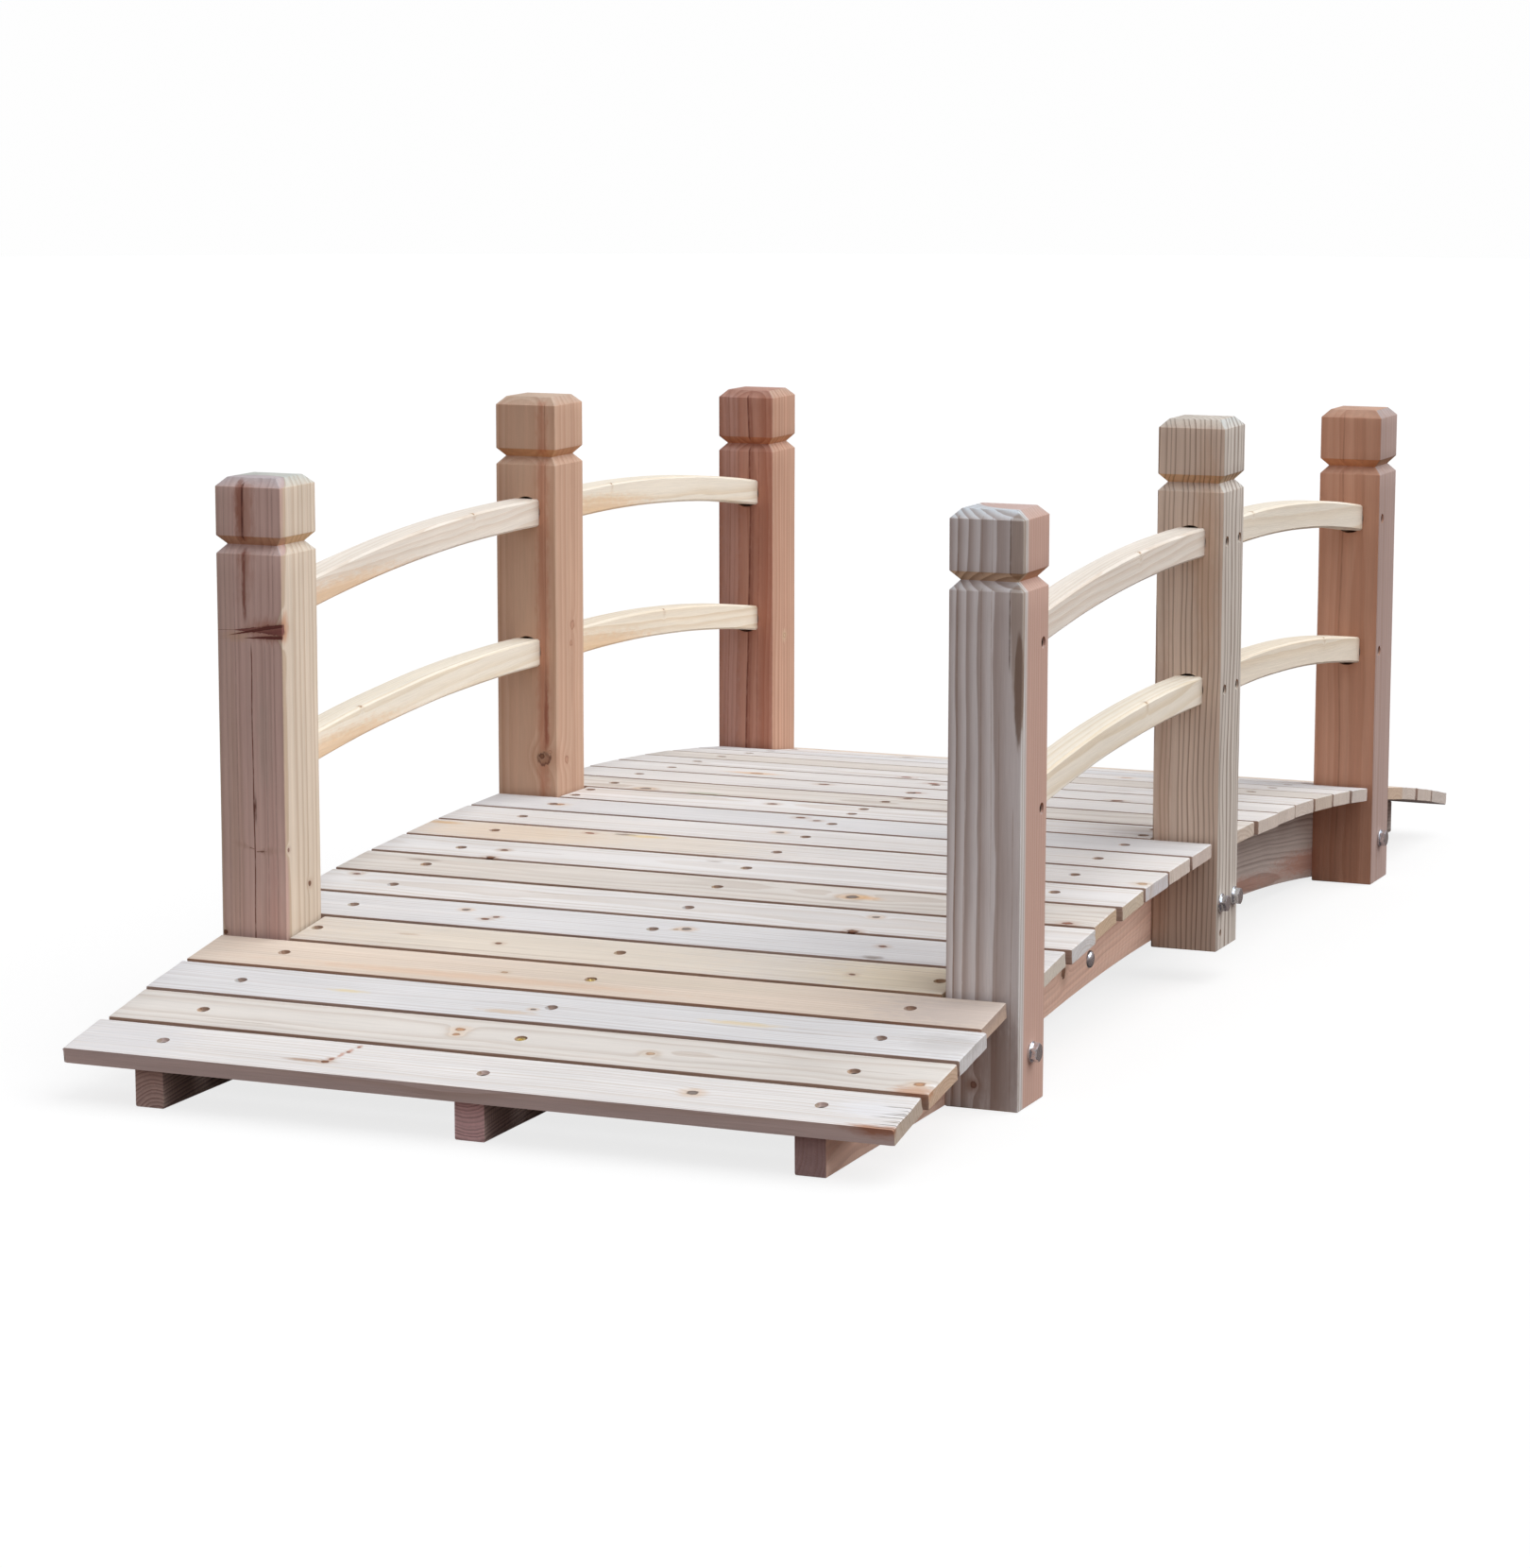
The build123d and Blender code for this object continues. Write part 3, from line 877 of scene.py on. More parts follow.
def plankMesh(name, length, number):
    rolls = random.Random(number)
    half = plank["thickness"] / 2
    nearEdge = plank["outerHalf" if number == 1 else "swollen"]
    farEdge = plank["outerHalf" if number == bridge["planks"] else "swollen"]
    section = roundedSection(plank["swollen"], half, plank["ease"], 2, 5)
    roughness = plank["raggedEnds"].get(number, plank["raggedEnd"])
    thinning, easeReach = plank["endEase"]
    slack = [rolls.uniform(0.0, plank["endSlack"]) for _ in range(2)]
    if length < plank["lengths"]["full"]:
        slack = [plank["shortSlack"]] * 2
    slack[1] = plank["rightSlack"].get(number, slack[1])
    ends = [-length / 2 + slack[0], length / 2 - slack[1]]
    rolls.random()                # spare, so that the ends keep their slopes
    slopes = [rolls.uniform(-0.02, 0.02) for _ in ends]
    closeStops = [0.0, 0.6 / length, 1.6 / length]
    stops = closeStops + [step / 30 for step in range(1, 30)] + [1 - stop for stop in reversed(closeStops)]
    rings = []
    for stop in stops:
        along = ends[0] + (ends[1] - ends[0]) * stop
        fromEnd = min(stop, 1 - stop) * length
        onEnd = fromEnd < 0.1
        shrink = thinning * max(0.0, 1 - fromEnd / easeReach) ** 2
        slope = slopes[0] * (1 - stop) + slopes[1] * stop
        ring = []
        for across, height in section:
            across *= 1 - shrink / plank["halfWidth"]
            height *= 1 - shrink / half
            base = Vector((along + across * slope, across, height - half))
            moved = waver(base, *plank["waves"], number)
            if onEnd:
                moved += waver(base, plank["sawMarks"], roughness, number + 9)
            base += Vector((moved.x if onEnd else 0.0, moved.y, moved.z * 0.8))
            base.z = min(base.z, 0.0)
            base.y = max(-nearEdge, min(farEdge, base.y))
            ring.append(base)
        rings.append(ring)
    return finishMesh(name, loft(rings))


def screwPlaces(number):
    # the screws of one plank as ((along, across), row)
    pair = plank["screwPair"]
    shifts = (-pair, pair) if number == bridge["middlePlank"] else (0.0,)
    scatterAlong, scatterAcross = plank["screwScatter"]
    rolls = random.Random(number * 17)
    places = []
    for row in plank["screwRows"]:
        for shift in shifts:
            along = row + rolls.uniform(-scatterAlong, scatterAlong)
            places.append(((along, shift + rolls.uniform(-scatterAcross, scatterAcross)), row))
    return places


def plankLook(number):
    rolls = random.Random(100 + number)
    tints = plank["tints"]
    early, late = plankTints[tints[number - 1] if number <= len(tints) else rolls.choice(plank["anyTint"])]
    if rolls.random() < plank["flatSawn"]:
        pith = (rolls.uniform(-14, 14), -rolls.uniform(34, 60))
    else:
        pith = (rolls.choice((-1, 1)) * rolls.uniform(70, 150), -rolls.uniform(10, 50))
    knots = []
    for across, along, size, kind in plank["knots"].get(number, ()):
        lean = (rolls.uniform(-0.2, 0.2), 1.0, rolls.uniform(-0.35, 0.35))
        knots.append(((across, 0.0, along), lean, size * plank["knotGrowth"], kind))
    smears = []
    for across, along, wide, long, colour, strength in plank["smears"].get(number, ()):
        smears.append(((across, 0.0, along), (wide, 9.0, long), colour, strength))
    streaks = []
    for _ in range(rolls.randint(1, 3)):
        start = rolls.uniform(-300, 200)
        reach = (start, start + rolls.uniform(60, 240))
        streaks.append(((rolls.uniform(-24, 24), 0.0), rolls.uniform(0.5, 1.1), reach, 5.0,
                        plank["streakColour"], rolls.uniform(0.3, 0.6)))
    if number == 1:
        # its right end is torn in short splits
        for step in range(9):
            across = -25 + step * 4.1 + 0.9 * (step % 3)
            reach = (300 + 5 * (step * 5 % 4), 350)
            streaks.append(((across, 0.0), 0.8, reach, 9.0, plank["tearColour"], 0.85))
    return {
        "grain": "X", "early": early, "late": late, "pith": pith,
        "ringWidth": rolls.uniform(*plank["ringWidths"]), "wander": rolls.uniform(*plank["wanders"]),
        "contrast": 0.8, "knots": knots, "smears": smears, "streaks": streaks, "unevenness": 0.8,
        "knotSquash": (1.0, 1.0, 0.7), "endTint": plank["endTints"].get(number, plank["plainEnd"]),
        # the long edges get painted shade: in the gaps, and a warmer one on the first plank's front edge
        "faceTints": [((0, 1, 0), plank["gapShadeTint"]),
                      ((0, -1, 0), plank["frontEdgeShadeTint" if number == 1 else "gapShadeTint"])],
    }


deckScrews = {"steel": [], "brass": []}
for number in range(1, bridge["planks"] + 1):
    place = plankFrame(number)
    length = plank["lengths"]["short" if number in plank["shortOnes"] else "full"]
    mesh = plankMesh(f"plank_{number:02d}", length, number)
    wide, deep = plank["recess"], plank["recessDepth"]
    recess = [(-deep - 1.6, 2.2), (-deep, 3.9), (-deep * 0.5, wide - 0.35), (0.6, wide)]
    cutter = None
    for (along, across), row in screwPlaces(number):
        cutter = turned(recess, pointing((along, across, 0), (0, 0, 1)), 20, cutter, 1)
        kind = "brass" if (number, row) in plank["brassScrews"] else "steel"
        head = pointing((along, across, -plank["screwDrop"][kind]), (0, 0, 1))
        deckScrews[kind].append(place @ head)
    mesh = cutOut(mesh, finishMesh("recesses", cutter))
    wood = woodMaterial(f"plankWood_{number:02d}", plankLook(number), 20 + number)
    addPiece(f"plank_{number:02d}", mesh, [wood, tornWoodAndRecessShade], [f"deck_board_{number:02d}"], place)
print("deck:", bridge["planks"], "planks with screw recesses")


screw = {
    "head": [(-2.6, 1.9), (-1.0, 3.3), (-0.25, 3.75), (-0.05, 3.6), (0.0, 3.0)],    # its top is at Z = 0
    "blade": ((-1.5, 0.7, 0.35), (0.3, 2.1, 0.5)),        # level, half length and half width of the cross
}


def screwHead():
    head = finishMesh("head", turned(screw["head"], Matrix.Identity(4)))
    for turn in (0.0, math.pi / 2):
        spin = Matrix.Rotation(turn, 3, "Z")
        rings = []
        for level, long, wide in screw["blade"]:
            corners = [(-long, -wide), (long, -wide), (long, wide), (-long, wide)]
            rings.append([spin @ Vector((x, y, level)) for x, y in corners])
        head = cutOut(head, finishMesh("blade", loft(rings)))
    return head


screwMesh = screwHead()
for kind, material in {"steel": dullSteelWithRecessShade, "brass": brass}.items():
    rolls = random.Random(4)
    places = [place @ Matrix.Rotation(rolls.uniform(0, 6.3), 4, "Z") for place in deckScrews[kind]]
    addPiece(f"deck_screws_{kind}", copies("screws", screwMesh, places), [material])
print("deck screws:", sum(len(places) for places in deckScrews.values()))


everyPost = {
    "corner": 0.9,
    "topChamfer": 7.0,
    "grooveBelowTop": 52.0,
    "grooveDepth": 6.5,
    "grooveHalf": 7.0,
    "soft": 0.3,                  # how far each edge is rounded
    "waves": (90, 0.22),
    "socketRadius": 13.3,
    "socketDepth": 24.0,
    "socketMouth": 0.5,
    "screwHole": [(-1.0, 4.6), (1.4, 4.4), (3.0, 2.4)],       # (depth, radius)
    "screwSunk": 1.5,
    "railScrewOffset": 17.5,      # from the post's middle towards the rail
    "spareHole": [(-1.0, 3.2), (1.0, 3.0), (9.0, 2.4)],       # low on a middle post, beside its bolts
    "spareHolePlace": (-17.0, 14.0),
    "boltHeight": 40.0,
    "middleBoltOffset": 18.0,
}

postLooks = {
    "left_near": {
        "early": tone(219, 203, 185), "late": tone(190, 164, 138), "pith": (0.5, -27.5), "ringWidth": 5.6,
        "contrast": 0.75, "wander": 4.0, "lateFrom": 0.3,
        "heart": (tone(211, 181, 171), tone(190, 156, 146), 27.4, 0.8), "endTint": (0.74, 0.90, 1.03),
        "smears": [((-22, -28.5, 240), (10, 4, 380), tone(206, 180, 166), 0.4),
                   ((-3, -28.5, 420), (11, 4, 95), tone(176, 124, 104), 0.6),
                   ((18, -28.5, 60), (9, 4, 130), tone(206, 164, 154), 0.5),
                   ((-14, -28.5, 170), (8, 4, 150), tone(196, 168, 150), 0.4),
                   ((12, -28.5, 240), (9, 4, 60), tone(190, 172, 160), 0.4),
                   ((-12, -28.5, 319), (15, 6, 6), tone(206, 172, 148), 0.7),
                   ((14, -28.5, 325), (20, 6, 12), tone(176, 124, 108), 0.7),
                   ((28.5, -25, 327), (4, 8, 14), tone(206, 146, 100), 0.7),
                   ((-7, -28.5, 425), (5, 9, 50), tone(150, 96, 78), 0.8)],
        "streaks": [
            ((1.0, -28.5), 0.9, (-20, 318), 8.0, tone(118, 74, 60), 0.95),
            ((2.0, -28.5), 2.2, (168, 200), 8.0, tone(104, 62, 52), 0.9),
            ((-3.0, -29.5), 2.6, (325, 400), 14.0, tone(132, 80, 66), 0.85),
            ((-4.5, -28.5), 1.6, (385, 470), 6.0, tone(96, 54, 46), 0.9),
            ((13, -28.5), 1.0, (0, 320), 5.0, tone(166, 136, 128), 0.45),
            ((-13, -28.5), 1.0, (0, 440), 5.0, tone(164, 132, 124), 0.45),
            ((21, -28.5), 0.9, (40, 440), 4.0, tone(164, 132, 124), 0.45),
            ((-21, -28.5), 0.8, (20, 440), 4.0, tone(168, 138, 130), 0.4),
        ],
        "knots": [((-9, -28.5, 324), (1, 0.0, 0.04), 5.2, "spike", 48.0),
                  ((-16, -28.5, 320), (1, 0.0, 0.2), 1.2, "maroon", 30.0),
                  ((-3, -28.5, 318), (1, 0.0, 0.05), 1.3, "maroon", 24.0),
                  ((3, -28.5, 150), (1, 0.2, 0.1), 1.6, "shadow", 10.0),
                  ((1, -28.5, 152), (-1, 0.2, 0.25), 1.4, "shadow", 12.0),
                  ((-26, -28.5, 84), (0.2, 1, 0), 2.0, "brown"), ((28, 10, 120), (1, 0, 0.1), 2.2, "brown")],
    },
    "right_near": {
        "early": tone(230, 224, 222), "late": tone(184, 168, 161), "pith": (28.0, 35.0), "ringWidth": 4.836,
        "lateFrom": 0.05, "wander": 4.0, "unevenness": 0.45, "ringUneven": 0.15,
        "heart": (tone(212, 176, 162), tone(202, 160, 145), 50.0, 6.0),
        "smears": [((26.5, -28.5, 404), (8, 6, 130), tone(156, 130, 110), 0.62, "crisp"),
                   ((26, -28.5, 314), (3.6, 5, 42), tone(116, 88, 68), 0.7, "crisp"),
                   ((14, -28.5, 30), (30, 4, 60), tone(150, 120, 104), 0.45)],
        "streaks": [((18.6, -28.5), 0.8, (322, 480), 1.0, tone(112, 88, 74), 0.8),
                    ((-22, -28.5), 0.8, (0, 480), 4.0, tone(150, 122, 104), 0.6),
                    ((-3, -28.5), 0.7, (60, 480), 4.0, tone(158, 130, 112), 0.5),
                    ((11, -28.5), 0.7, (0, 300), 4.0, tone(164, 142, 128), 0.5),
                    ((-15, -28.5), 0.6, (0, 260), 5.0, tone(160, 124, 100), 0.5),
                    ((5, -28.5), 0.6, (140, 480), 5.0, tone(168, 140, 122), 0.4),
                    ((22, -28.5), 0.7, (0, 230), 5.0, tone(160, 132, 118), 0.5)],
        "faceTints": [((1, 0, 0), (0.90, 0.92, 0.91))],
        "knots": [((-6, -28.5, 18), (0.2, 1, 0.3), 2.4, "shadow")],
    },
    "left_middle": {
        "early": tone(214, 178, 152), "late": tone(192, 145, 118), "pith": (-4.0, -46.0), "ringWidth": 7.0,
        "contrast": 0.6, "wander": 10.0, "lateFrom": 0.1, "unevenness": 0.8,
        "smears": [((16, -28.5, 250), (8, 8, 420), tone(190, 124, 96), 0.6),
                   ((18.5, -28.5, 160), (3, 6, 46), tone(150, 84, 64), 0.7)],
        "streaks": [((18.5, -28.5), 0.8, (130, 470), 4.0, tone(150, 92, 72), 0.5),
                    ((28.5, 4), 1.0, (0, 470), 6.0, tone(186, 142, 116), 0.4)],
        "knots": [((16, -28.5, 125), (-0.3, 1, 0.1), 6.2, "swirl"),
                  ((14, -28.5, 127), (-0.3, 1, 0.1), 2.4, "brown"),
                  ((22, -28.5, 131), (-0.3, 1, 0), 1.6, "faint"),
                  ((28, 5, 240), (1, 0.1, 0.2), 4.0, "faint"), ((28, 2, 224), (1, 0.1, 0.2), 2.6, "faint"),
                  ((28, -8, 122), (1, 0.1, 0.2), 3.6, "faint")],
        "faceTints": [((1, 0, 0), (0.88, 0.87, 0.89))],
    },
    "left_far": {
        "early": tone(196, 143, 123), "late": tone(166, 106, 84), "pith": (6.0, -40.0), "ringWidth": 6.0,
        "contrast": 0.75, "wander": 12.0, "lateFrom": 0.1,
        "smears": [((20, -28.5, 240), (11, 5, 420), tone(176, 112, 88), 0.55),
                   ((-16, -28.5, 240), (13, 5, 420), tone(196, 158, 148), 0.45)],
        "streaks": [((3, -28.5), 1.5, (-20, 480), 13.0, tone(112, 64, 52), 0.9),
                    ((5, -28.5), 3.4, (-20, 480), 13.0, tone(150, 90, 72), 0.5),
                    ((13, -28.5), 0.8, (0, 400), 8.0, tone(140, 84, 66), 0.5),
                    ((-18, -28.5), 0.9, (0, 480), 8.0, tone(150, 92, 72), 0.5)],
        "faceTints": [((1, 0, 0), (1.06, 1.30, 1.30))],
        "knots": [((28, 2, 200), (1, 0, 0.1), 2.8, "faint")],
    },
    "right_middle": {
        "early": tone(220, 198, 180), "late": tone(128, 96, 76), "pith": (-96.0, -70.0), "ringWidth": 4.4,
        "contrast": 0.85, "wander": 14.0, "lateFrom": 0.5, "ringUneven": 0.9, "unevenness": 0.8,
        "smears": [((14, -28.5, 330), (14, 4, 120), tone(206, 170, 142), 0.5),
                   ((-20, -28.5, 120), (9, 4, 200), tone(196, 160, 136), 0.4)],
        "faceTints": [((1, 0, 0), (0.86, 0.98, 1.08))],
    },
    "right_far": {
        "early": tone(208, 158, 132), "late": tone(184, 126, 98), "pith": (10.0, -44.0), "ringWidth": 8.0,
        "contrast": 0.5, "wander": 12.0, "lateFrom": 0.1,
        "streaks": [((-6, -28.5), 1.2, (0, 470), 16.0, tone(150, 102, 80), 0.5)],
        "faceTints": [((1, 0, 0), (0.74, 1.0, 1.32))],
    },
}
for look in postLooks.values():
    look["grain"] = "Z"
    look.setdefault("endTint", (0.88, 1.0, 1.08))
    # faces that look down, such as the upper slope of the groove, get a painted warm shade
    look.setdefault("faceTints", []).append(((0, 0, -1), (1.0, 0.76, 0.52)))


def postMesh(name, height, seed):
    # a loft through (level, inset) stops; a stop on either side of an edge rounds it
    half = bridge["postSize"] / 2
    groove = height - everyPost["grooveBelowTop"]
    grooveFoot = groove - everyPost["grooveHalf"]
    grooveTop = groove + everyPost["grooveHalf"]
    deep, chamfer, soft = everyPost["grooveDepth"], everyPost["topChamfer"], everyPost["soft"]
    chamferFoot = height - chamfer
    stops = [(0.0, 0.6), (0.7, 0.0)]
    stops += [(grooveFoot * step / 22, 0.0) for step in range(1, 22)]
    stops += [(grooveFoot - soft, 0.0), (grooveFoot, 0.08), (grooveFoot + soft, 0.28)]
    stops += [(groove - 0.4, deep - 0.4), (groove, deep - 0.15), (groove + 0.4, deep - 0.4)]
    stops += [(grooveTop - soft, 0.28), (grooveTop, 0.08), (grooveTop + soft, 0.0)]
    stops += [(grooveTop + (chamferFoot - grooveTop) * step / 4, 0.0) for step in range(1, 4)]
    stops += [(chamferFoot - soft, 0.0), (chamferFoot, 0.08), (chamferFoot + soft, soft)]
    stops += [(height - 0.35, chamfer - 0.36), (height - 0.1, chamfer - 0.06), (height, chamfer + 0.2)]
    rings = []
    for level, inset in stops:
        ring = []
        for x, y in roundedSection(half - inset, half - inset, everyPost["corner"], 3, 5):
            moved = waver((x, y, level), *everyPost["waves"], seed)
            ring.append(Vector((
                max(-half, min(half, x + moved.x)), max(-half, min(half, y + moved.y)), level)))
        rings.append(ring)
    return finishMesh(name, loft(rings))


def postHoles(side, stationName, place):
    # one cutter for the sockets, screw holes and spare hole; notes where the rail screws go
    half = bridge["postSize"] / 2
    radius, depth = everyPost["socketRadius"], everyPost["socketDepth"]
    socket = [(-1.0, radius + everyPost["socketMouth"]), (0.35, radius), (depth, radius)]
    cutter = None
    for facing in (-1, 1):
        if abs(stations[stationName] + facing) > 1:
            continue
        for level in bridge["railHeights"].values():
            cutter = turned(socket, pointing((0, facing * half, level), (0, -facing, 0)), 40, cutter, 1)
            fixing = (side * half, facing * everyPost["railScrewOffset"], level)
            cutter = turned(everyPost["screwHole"], pointing(fixing, (-side, 0, 0)), 20, cutter, 1)
            sunk = Vector(fixing) - Vector((side * everyPost["screwSunk"], 0, 0))
            railScrews.append(place @ pointing(sunk, (side, 0, 0)))
    if stationName == "middle":
        spare = pointing((side * half, *everyPost["spareHolePlace"]), (-side, 0, 0))
        cutter = turned(everyPost["spareHole"], spare, 20, cutter, 1)
    return finishMesh("sockets", cutter)


railScrews = []
postPlaces = {}
for sideName, side in sides.items():
    for stationName in stations:
        node = f"post_{sideName}_{stationName}"
        low, high = [corner * 1000 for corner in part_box(node)]
        middle = (low + high) / 2
        place = Matrix.Translation((middle.x, middle.y, low.z))
        postPlaces[sideName, stationName] = place
        mesh = postMesh(node, high.z - low.z, len(railScrews) + 3)
        mesh = cutOut(mesh, postHoles(side, stationName, place))
        look = postLooks[f"{sideName}_{stationName}"]
        wood = woodMaterial(f"postWood_{sideName}_{stationName}", look, 60 + len(postPlaces))
        addPiece(f"turned_{node}", mesh, [wood, tornWoodAndRecessShade], [node], place)
addPiece("rail_screws", copies("railScrews", screwMesh, railScrews), [dullSteelWithRecessShade])
print("posts: 6, with", len(railScrews), "rail screws")


rail = {
    "half": 12.0,
    "ease": 1.4,
    "bow": 9.0,
    "tenonRadius": 11.8,
    "tenonHalf": 10.6,
    "tenonEase": 0.6,
    "tenonLength": 22.0,
    "shoulder": (0.25, 0.4),     # how much the rail thins where it meets a post, and over what length
    # off the middle of the sockets: sideways, then up, and up at the far posts
    "sit": (0.7, -0.5, 1.1),
    "waves": (70, 0.2),
    "steps": 32,
    "roundSteps": 40,
    "sunnySmear": ((12, -5, -150), (8, 16, 150), tone(226, 186, 142), 0.65),      # on the left rails
}
railTints = [
    (tone(236, 226, 210), tone(222, 202, 174)),
    (tone(238, 228, 212), tone(224, 206, 178)),
    (tone(232, 222, 210), tone(216, 198, 180)),
    (tone(236, 224, 206), tone(220, 198, 168)),
]


def polarSquare(angle, half, ease):
    # distance from the middle to the edge of a square with rounded corners
    c, s = abs(math.cos(angle)), abs(math.sin(angle))
    flat = half / max(c, s)
    inner = half - ease
    if flat * min(c, s) <= inner:
        return flat
    along = (c + s) * inner
    return along + math.sqrt(max(0.0, along * along - 2 * inner * inner + ease * ease))


def railMesh(name, start, finish, turn, seed):
    # start and finish are the (y, z) of the rail's middle where it meets the posts
    span, rise = finish[0] - start[0], finish[1] - start[1]
    chord = math.hypot(span, rise)
    bow, inside = rail["bow"], rail["tenonLength"]
    radius = (chord * chord / 4 + bow * bow) / (2 * bow)
    middle = ((start[0] + finish[0]) / 2, (start[1] + finish[1]) / 2)
    count = rail["roundSteps"]
    angles = [2 * math.pi * (step + 0.5) / count for step in range(count)]
    untilt = Matrix.Rotation(-turn, 3, "X")
    thinning, shoulder = rail["shoulder"]
    rings = []

    def addRing(y, z, outline, inset=0.0):
        ring = []
        for angle in angles:
            reach = outline(angle, inset)
            point = Vector((reach * math.cos(angle), y - middle[0], z + reach * math.sin(angle) - middle[1]))
            point += waver(point, *rail["waves"], seed)
            ring.append(untilt @ point)
        rings.append(ring)

    def square(angle, inset):
        return polarSquare(angle, rail["half"] - inset, rail["ease"])

    def tenon(angle, inset):
        return min(polarSquare(angle, rail["tenonHalf"], rail["tenonEase"]), rail["tenonRadius"]) - inset

    def height(y):
        share = (y - start[0]) / span
        offset = (share - 0.5) * chord
        return start[1] + rise * share + math.sqrt(radius * radius - offset * offset) - (radius - bow)

    for along, inset in ((-inside, 1.0), (-inside + 1.0, 0.0), (-0.02, 0.0)):
        addRing(start[0] + along, start[1], tenon, inset)
    addRing(*start, square, thinning)
    addRing(start[0] + shoulder, height(start[0] + shoulder), square)
    for step in range(1, rail["steps"]):
        y = start[0] + span * step / rail["steps"]
        addRing(y, height(y), square)
    addRing(finish[0] - shoulder, height(finish[0] - shoulder), square)
    addRing(*finish, square, thinning)
    for along, inset in ((0.02, 0.0), (inside - 1.0, 0.0), (inside, 1.0)):
        addRing(finish[0] + along, finish[1], tenon, inset)
    return finishMesh(name, loft(rings)), middle


railNumber = 0
for sideName, side in sides.items():
    for bay, first, second in (("near", "near", "middle"), ("far", "middle", "far")):
        before = postPlaces[sideName, first].to_translation()
        after = postPlaces[sideName, second].to_translation()
        for levelName, level in bridge["railHeights"].items():
            half = bridge["postSize"] / 2
            sideways, up, farUp = rail["sit"]
            start = (before.y + half, before.z + level + up)
            finish = (after.y - half, after.z + level + (farUp if second == "far" else up))
            turn = math.atan2(finish[1] - start[1], finish[0] - start[0])
            node = f"rail_{sideName}_{bay}_{levelName}"
            railNumber += 1
            mesh, middle = railMesh(node, start, finish, turn, 30 + railNumber)
            rolls = random.Random(railNumber)
            early, late = railTints[railNumber % len(railTints)]
            wood = woodMaterial(f"railWood_{railNumber}", {
                "grain": "Y", "early": early, "late": late,
                "pith": (rolls.choice((-1, 1)) * rolls.uniform(30, 80), rolls.uniform(-50, 50)),
                "ringWidth": rolls.uniform(3.0, 5.0), "contrast": 0.7, "wander": 6.0, "unevenness": 0.5,
                "knots": [((8, 12, rolls.uniform(-150, 150)), (0.3, 1, 0.1), 1.6, "tan")],
                "smears": [rail["sunnySmear"]] if sideName == "left" else (),
            }, 80 + railNumber)
            place = Matrix.Translation((before.x + sideways, *middle)) @ Matrix.Rotation(turn, 4, "X")
            addPiece(f"bowed_{node}", mesh, [wood], [node], place)
print("rails:", railNumber)


beam = {
    "half": 12.0,
    "ease": 1.2,
    "topRadius": 3748.0,
    "footRadius": 3673.0,
    "end": 757.0,
    "gap": 0.3,                  # from mid span, half the saw cut between the halves
    "endEase": (0.35, 0.8),      # how much an end thins, and over what length
    "waves": (55, 0.3),
    "steps": 40,
}
beamLooks = {
    "left": {
        "early": tone(210, 184, 172), "late": tone(146, 112, 104), "pith": (8.0, -10.0), "ringWidth": 2.8,
    },
    "middle": {
        "early": tone(220, 192, 182), "late": tone(160, 124, 116), "pith": (-4.0, 60.0), "ringWidth": 2.6,
        "endTint": (1.2, 1.04, 1.14),
    },
    # the near half of the right stringer: its pale colours are painted light, standing in for the flatter
    # light that its outer face gets under the deck's overhang; its end tint makes its ends darker
    "right": {
        "early": tone(244, 206, 186), "late": tone(216, 170, 148), "pith": (-40.0, 30.0), "ringWidth": 3.4,
        "contrast": 0.55, "endTint": (0.52, 0.49, 0.58),
    },
    # the half of the right one that the photograph shows between the middle and the far post
    "right_far": {
        "early": tone(196, 182, 174), "late": tone(132, 112, 102), "pith": (30.0, -14.0), "ringWidth": 3.6,
        "contrast": 0.6, "smears": [((12, -12, -150), (9, 11, 190), tone(182, 128, 108), 0.6),
                                    ((12, -4, 80), (9, 17, 150), tone(182, 128, 108), 0.75)],
    },
}
sawnBeam = {"grain": "Y", "sawn": 3.4, "relief": 0.8}


def beamMesh(name, direction, seed):
    # half a stringer about its own middle, which comes back with the tilt of its chord
    centre = bridge["crown"] - bridge["deckRadius"]
    nearY, farY = beam["gap"], beam["end"]
    thinning, easeReach = beam["endEase"]
    kink = math.sqrt(beam["footRadius"] ** 2 - centre ** 2)      # where the lower edge meets the ground
    stops = [nearY, nearY + easeReach, kink, farY - easeReach, farY]
    stops += [nearY + (farY - nearY) * step / beam["steps"] for step in range(1, beam["steps"])]
    middleRadius = (beam["topRadius"] + beam["footRadius"]) / 2
    nearZ, farZ = [centre + math.sqrt(middleRadius ** 2 - y * y) for y in (nearY, farY)]
    tilt = math.atan2(farZ - nearZ, farY - nearY) * direction
    origin = Vector((0, direction * (nearY + farY) / 2, (nearZ + farZ) / 2))
    rings = []
    for y in sorted(stops):
        top = centre + math.sqrt(beam["topRadius"] ** 2 - y * y)
        foot = max(0.0, centre + math.sqrt(beam["footRadius"] ** 2 - y * y))
        inset = thinning * max(0.0, 1 - min(y - nearY, farY - y) / easeReach)
        section = roundedSection(beam["half"] - inset, (top - foot) / 2 - inset, beam["ease"], 2, 4)
        ring = []
        for x, z in section:
            point = Vector((x, direction * y, z + (top + foot) / 2))
            moved = waver(point, *beam["waves"], seed)
            point += Vector((moved.x, 0, moved.z * 0.6))
            point.x = max(-beam["half"], min(beam["half"], point.x))
            point.z = max(0.0, min(top, point.z))
            ring.append(point - origin)
        rings.append(ring if direction > 0 else list(reversed(ring)))
    return finishMesh(name, loft(rings)), origin, tilt


